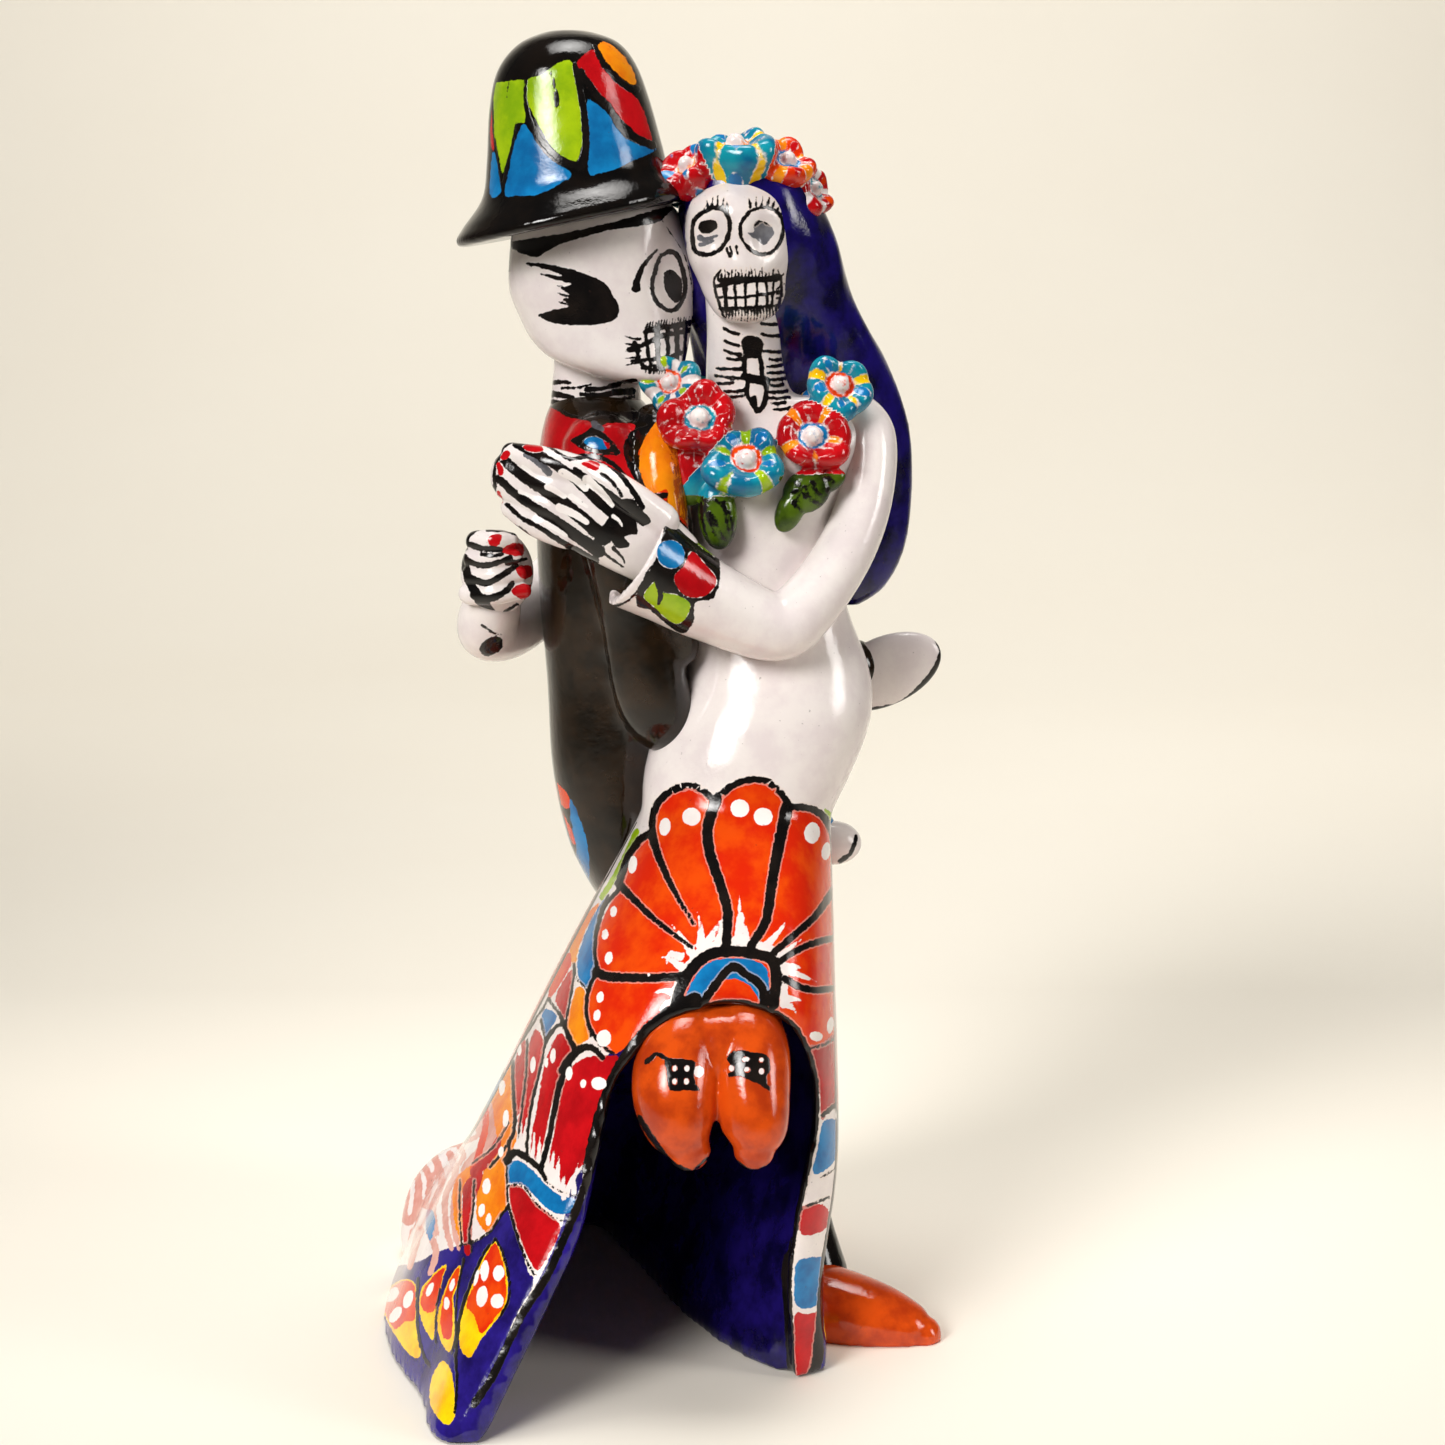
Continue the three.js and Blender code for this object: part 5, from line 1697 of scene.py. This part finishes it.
def paint_groom_hat(piece):
    """Lime petals, blue fields, a red band and an orange oval on the crown."""
    front, back = piece.halves(HAT_AXIS, HAT_UNROLLED, HAT_RIGHT, HAT_LEFT)
    paint_hat_back(back)
    c = front.zoom(*HEAD_WINDOW)
    blue = (
        ((322, 900), (332, 720), (346, 705), (360, 780), (374, 880)),
        ((392, 898), (408, 790), (430, 680), (456, 600), (480, 572), (512, 612), (560, 692), (622, 750),
         (700, 800), (640, 850), (560, 890), (500, 902), (440, 902)),
        ((774, 460), (800, 468), (862, 520), (900, 562), (932, 622), (1000, 662), (1086, 684), (1062, 706),
         (980, 742), (900, 780), (830, 797), (780, 802), (778, 650), (770, 530)),
    )
    lime = (
        ((342, 400), (356, 380), (410, 374), (482, 372), (484, 450), (484, 560), (444, 572), (424, 660),
         (396, 760), (380, 800), (362, 730), (344, 630), (338, 500)),
        ((494, 372), (560, 345), (622, 300), (680, 276), (708, 300), (722, 400), (744, 520), (754, 600),
         (746, 680), (716, 750), (668, 738), (620, 690), (570, 620), (530, 540), (496, 470)),
    )
    c.patches("blue", *blue)
    c.patches("lime", *lime)
    c.patch(
        "red", (722, 292), (780, 232), (812, 232), (832, 272), (880, 350), (960, 420), (1012, 470),
        (1052, 570), (1070, 655), (1030, 640), (962, 580), (900, 520), (830, 440), (762, 345),
    )
    c.patch(
        "amber", (820, 206), (862, 194), (912, 230), (962, 290), (992, 345), (992, 392), (950, 372),
        (892, 320), (846, 262),
    )
    c.stroke("red", 16, 14, (334, 400), (324, 500), (328, 600), (338, 690))
    EDGES = (
        (14, 34, (488, 372), (486, 460), (505, 550), (560, 650), (640, 728), (722, 766)),
        (26, 40, (714, 300), (738, 420), (760, 560), (764, 680), (740, 770)),
        (12, 14, (444, 568), (426, 670), (396, 780), (380, 870)), (8, 12, (346, 640), (362, 740), (376, 860)),
        (7, 5, (412, 378), (402, 420), (400, 450)), (7, 26, (596, 322), (614, 370), (628, 430), (634, 486)),
        (34, 40, (740, 330), (800, 420), (880, 510), (930, 590), (1000, 640), (1070, 670)),
        (18, 34, (806, 212), (840, 290), (900, 360), (960, 405), (1000, 410)),
    )
    c.strokes("ink", *EDGES)


def paint_coat_back(c):
    """A red band round the collar, and ovals round the hem of the coat."""
    c.band("red", 199.5, 206)
    for x in (85, 67, 49, 31):
        for paint, rx, ry in (("blue", 5.6, 9.5), ("orange", 3.6, 6.8), ("dot", 1.1, 2.4)):
            c.dab(paint, (x, 107), (rx, ry))


# The coat's outside unrolled, as the skirt's is
COAT_AXIS, COAT_UNROLLED = (-24, 15), 17
COAT_RIGHT, COAT_LEFT = ((28, 80), (28, 215)), ((86, 80), (86, 215))


def paint_groom_coat(piece):
    """The shirt and lapels above, and the painted edge of the tail."""
    round_neck = np.hypot(piece.clay.co[:, 0] + 27, piece.clay.co[:, 1] - 12) < 17
    below = piece.clay.co[:, 2] < 125
    _, back = piece.halves(COAT_AXIS, COAT_UNROLLED, COAT_RIGHT, COAT_LEFT, round_neck | below)
    x, y, _ = piece.clay.co.T
    front = piece.front((y < 8) | (x < -14), least=0.02)
    paint_coat_back(back)
    c = front.zoom(*NECK_WINDOW)
    c.patch(
        "red", (548, 130), (620, 180), (720, 196), (742, 230), (700, 262), (652, 292), (700, 340), (830, 366),
        (800, 300), (800, 218), (952, 218), (934, 280), (902, 340), (922, 420), (962, 500), (1006, 566),
        (970, 590), (860, 460), (640, 440), (500, 330), (486, 290), (508, 200),
    )
    c.patch(
        "orange", (1040, 226), (1084, 300), (1134, 420), (1184, 560), (1226, 730), (1150, 650), (1096, 590),
        (1040, 550), (1000, 480), (974, 400), (984, 320), (1030, 280),
    )
    c.patch("amber", (1000, 300), (1060, 300), (1090, 420), (1090, 520), (1040, 540), (1000, 480), (978, 400))
    LAPELS = (
        (40, 50, (780, 168), (860, 178), (960, 176), (1040, 196)),
        (34, 46, (978, 50), (1052, 112), (1076, 172), (1046, 214)),
        (44, 30, (1040, 240), (960, 262), (918, 330), (940, 420), (990, 510), (1040, 568), (1110, 566)),
        (16, 14, (552, 130), (640, 172), (730, 192), (790, 180)),
        (14, 14, (646, 296), (720, 262), (744, 240), (808, 272), (856, 322), (872, 362), (780, 352),
         (700, 330), (646, 298)),
        (26, 20, (640, 396), (700, 372), (780, 380), (860, 420), (930, 500), (1000, 590)),
        (10, 10, (1056, 200), (1120, 320), (1180, 470), (1226, 640), (1240, 760)),
    )
    c.strokes("ink", *LAPELS)
    c.patch(
        "ink", (652, 292), (700, 264), (742, 244), (806, 274), (850, 322), (866, 358), (780, 348), (706, 328),
    )
    c.wipe(["ink"], (702, 300), (724, 282), (766, 278), (812, 302), (832, 332), (784, 342), (726, 324))
    c.patch("blue", (702, 300), (724, 282), (766, 278), (812, 302), (832, 332), (784, 342), (726, 324))
    c.patch("grey", (742, 200), (770, 204), (800, 230), (796, 252), (752, 236))
    lapel = front.zoom(*HANDS_WINDOW)
    orange = (
        (650, 112), (668, 62), (700, 14), (735, -20), (772, 50), (796, 160), (812, 260), (826, 360),
        (790, 330), (748, 290), (745, 240), (690, 252), (655, 190),
    )
    lapel.wipe(["ink", "red", "orange"], *orange)
    lapel.patch("amber", *orange)
    for i in range(4):
        lapel.stroke(
            "brown", 3, 7, (742 + 9 * i, 40 + 20 * i), (762 + 9 * i, 150), (774 + 8 * i, 250),
            (790 + 7 * i, 340),
        )
    lapel.stroke("ink", 10, 8, (776, 40), (800, 160), (812, 240), (826, 350))
    tail = front.zoom(*COAT_WINDOW)
    tail.patch("orange", (112, 780), (160, 822), (182, 872), (160, 884), (128, 842))
    tail.patch("orange", (146, 885), (182, 960), (202, 1012), (184, 1004), (156, 930))
    tail.patch(
        "blue", (178, 850), (204, 900), (238, 1000), (248, 1100), (240, 1172), (206, 1120), (198, 1012),
        (180, 920),
    )


def paint_groom_hands(piece):
    """Black edges."""
    c = piece.front(least=-0.3).zoom(*COAT_WINDOW)
    c.stroke("ink", 40, 34, (1240, 545), (1340, 528), (1410, 480), (1475, 405), (1508, 330), (1494, 285))
    c.stroke("ink", 18, 14, (1140, 1072), (1180, 1040), (1196, 985))


def paint_bride_shoes(piece):
    """Small checks on the insteps and dark soles."""
    c = piece.front().zoom(*SHOES_WINDOW)
    c.patch(
        "ink", (228, 350), (262, 346), (300, 352), (336, 360), (334, 400), (340, 440), (352, 462), (300, 462),
        (252, 464), (238, 430), (236, 390),
    )
    c.stroke("ink", 16, 14, (164, 362), (200, 334), (232, 350))
    c.patch(
        "ink", (450, 346), (484, 320), (540, 326), (590, 336), (604, 380), (590, 420), (604, 462), (560, 440),
        (500, 412), (452, 412), (466, 380),
    )
    for x, y, rx, ry in (
        (264, 384, 9, 12), (308, 384, 10, 12), (264, 430, 9, 12), (306, 430, 10, 12), (350, 396, 18, 22),
        (516, 352, 14, 10), (572, 354, 9, 9), (520, 388, 12, 10), (572, 394, 10, 12), (466, 384, 10, 12),
    ):
        c.dab("white", (x, y), (rx, ry))
        c.wipe(
            ["ink"],
            *[(x + rx * math.cos(a), y + ry * math.sin(a)) for a in np.linspace(0, 2 * math.pi, 9)[:-1]],
        )
    c.stroke("ink", 22, 20, (140, 560), (186, 632), (250, 716), (320, 752))
    c.stroke("ink", 10, 12, (330, 748), (380, 704), (430, 684), (480, 712), (540, 746), (600, 728))


def paint_flowers(piece, specs, paints):
    """Each flower in its own colours, which run into each other, with a ringed white bead."""
    co = piece.clay.co
    nearest = np.argmin([np.linalg.norm(co - spec[0], axis=1) / spec[2] for spec in specs], 0)
    for i, (spec, colours) in enumerate(zip(specs, paints)):
        place, direction, radius, turn, seed = spec
        main, hollow, streak, ring = colours
        matrix = np.array(Vector((0, 0, 1)).rotation_difference(Vector(direction)).to_matrix())
        local = (co - place) @ matrix / radius
        out = np.linalg.norm(local[:, :2], axis=1)
        petal = np.cos(5 * (np.arctan2(local[:, 1], local[:, 0]) - math.radians(turn)))
        uneven = wobble(co, 9, seed)
        mine = nearest == i
        bare = 0.24 * radius - np.linalg.norm(local - (0, 0, 0.24), axis=1) * radius
        in_ring = (0.39 + 0.09 * uneven - out) * radius
        in_streak = np.minimum((0.35 * uneven - petal - 0.62 - 0.6 * abs(out - 0.6)) * radius * 0.3, -in_ring)
        in_hollow = np.minimum((petal - 0.45 + 0.5 * uneven - 2.4 * abs(out - 0.64)) * radius * 0.3, -in_ring)
        layers = (
            (main, -np.max([in_ring, in_streak, in_hollow], 0)), (hollow, in_hollow), (streak, in_streak),
            (ring, in_ring),
            ("white", np.where(local[:, 2] > 0, bare + 0.05 * radius, FAR)),
        )
        for paint, field in layers:
            layer = piece.paint.setdefault(paint, np.full(len(co), FAR, np.float32))
            layer[mine] = np.maximum(layer[mine], np.clip(field[mine], FAR, -FAR))


def make_crown():
    piece = Piece("crown_flowers", flower_clay(CROWN), soft=0.3)
    paint_flowers(piece, CROWN, CROWN_PAINTS)
    piece.finish()


def make_collar():
    piece = Piece("collar_flowers", flower_clay(COLLAR, leaves()), soft=0.3)
    paint_flowers(piece, COLLAR, COLLAR_PAINTS)
    co = piece.clay.co
    leafy = (co[:, 1] < 0) & ((co[:, 2] < 191.5) | ((co[:, 0] > 12) & (co[:, 2] < 196.2)))
    for field in piece.paint.values():
        field[leafy] = FAR
    piece.paint["leaf"] = np.where(leafy, 3.0, FAR).astype(np.float32)
    c = piece.front(leafy).zoom(*LEAVES_WINDOW)
    for line in (
        ((400, 800), (410, 900), (450, 1000)), ((440, 810), (500, 880), (520, 980)),
        ((400, 870), (450, 930), (500, 1030)), ((380, 840), (390, 950), (430, 1060)),
        ((490, 840), (530, 920), (540, 1000)), ((830, 790), (880, 780), (900, 830)),
        ((900, 760), (930, 820), (980, 850)), ((840, 840), (870, 870), (900, 900)),
        ((1000, 720), (1040, 730), (1010, 780)), ((940, 740), (960, 790), (1010, 810)),
        ((860, 740), (880, 780), (860, 830)),
    ):
        c.stroke("ink", 26, 12, *line)
    for line in (
        ((800, 690), (830, 720), (820, 760)), ((870, 700), (920, 720), (980, 700)),
        ((550, 880), (556, 960), (545, 1040)),
    ):
        c.stroke("lime", 34, 18, *line)
    piece.finish()


def figurine():
    make_dress().finish()
    for name, make, base, decorate in (
        ("bride_sleeves", bride_sleeves, "bare", paint_bride_sleeves),
        ("bride_hands", bride_hands, "bare", paint_bride_hands),
        ("bride_skull", bride_skull, "bare", paint_bride_skull),
        ("bride_hair", bride_hair, "night", None), ("bride_shoes", bride_shoes, "shoe", paint_bride_shoes),
        ("groom_skull", groom_skull, "bare", paint_groom_skull),
        ("groom_hat", groom_hat, "black", paint_groom_hat),
        ("groom_coat", groom_coat, "coat", paint_groom_coat),
        ("groom_hands", groom_hands, "bare", paint_groom_hands),
        ("groom_legs", groom_legs, "black", None), ("groom_shoes", groom_shoes, "shoe", None),
    ):
        piece = Piece(name, make(), base)
        if decorate:
            decorate(piece)
        piece.finish()
    make_crown()
    make_collar()


camera()
stage()
lights()
figurine()
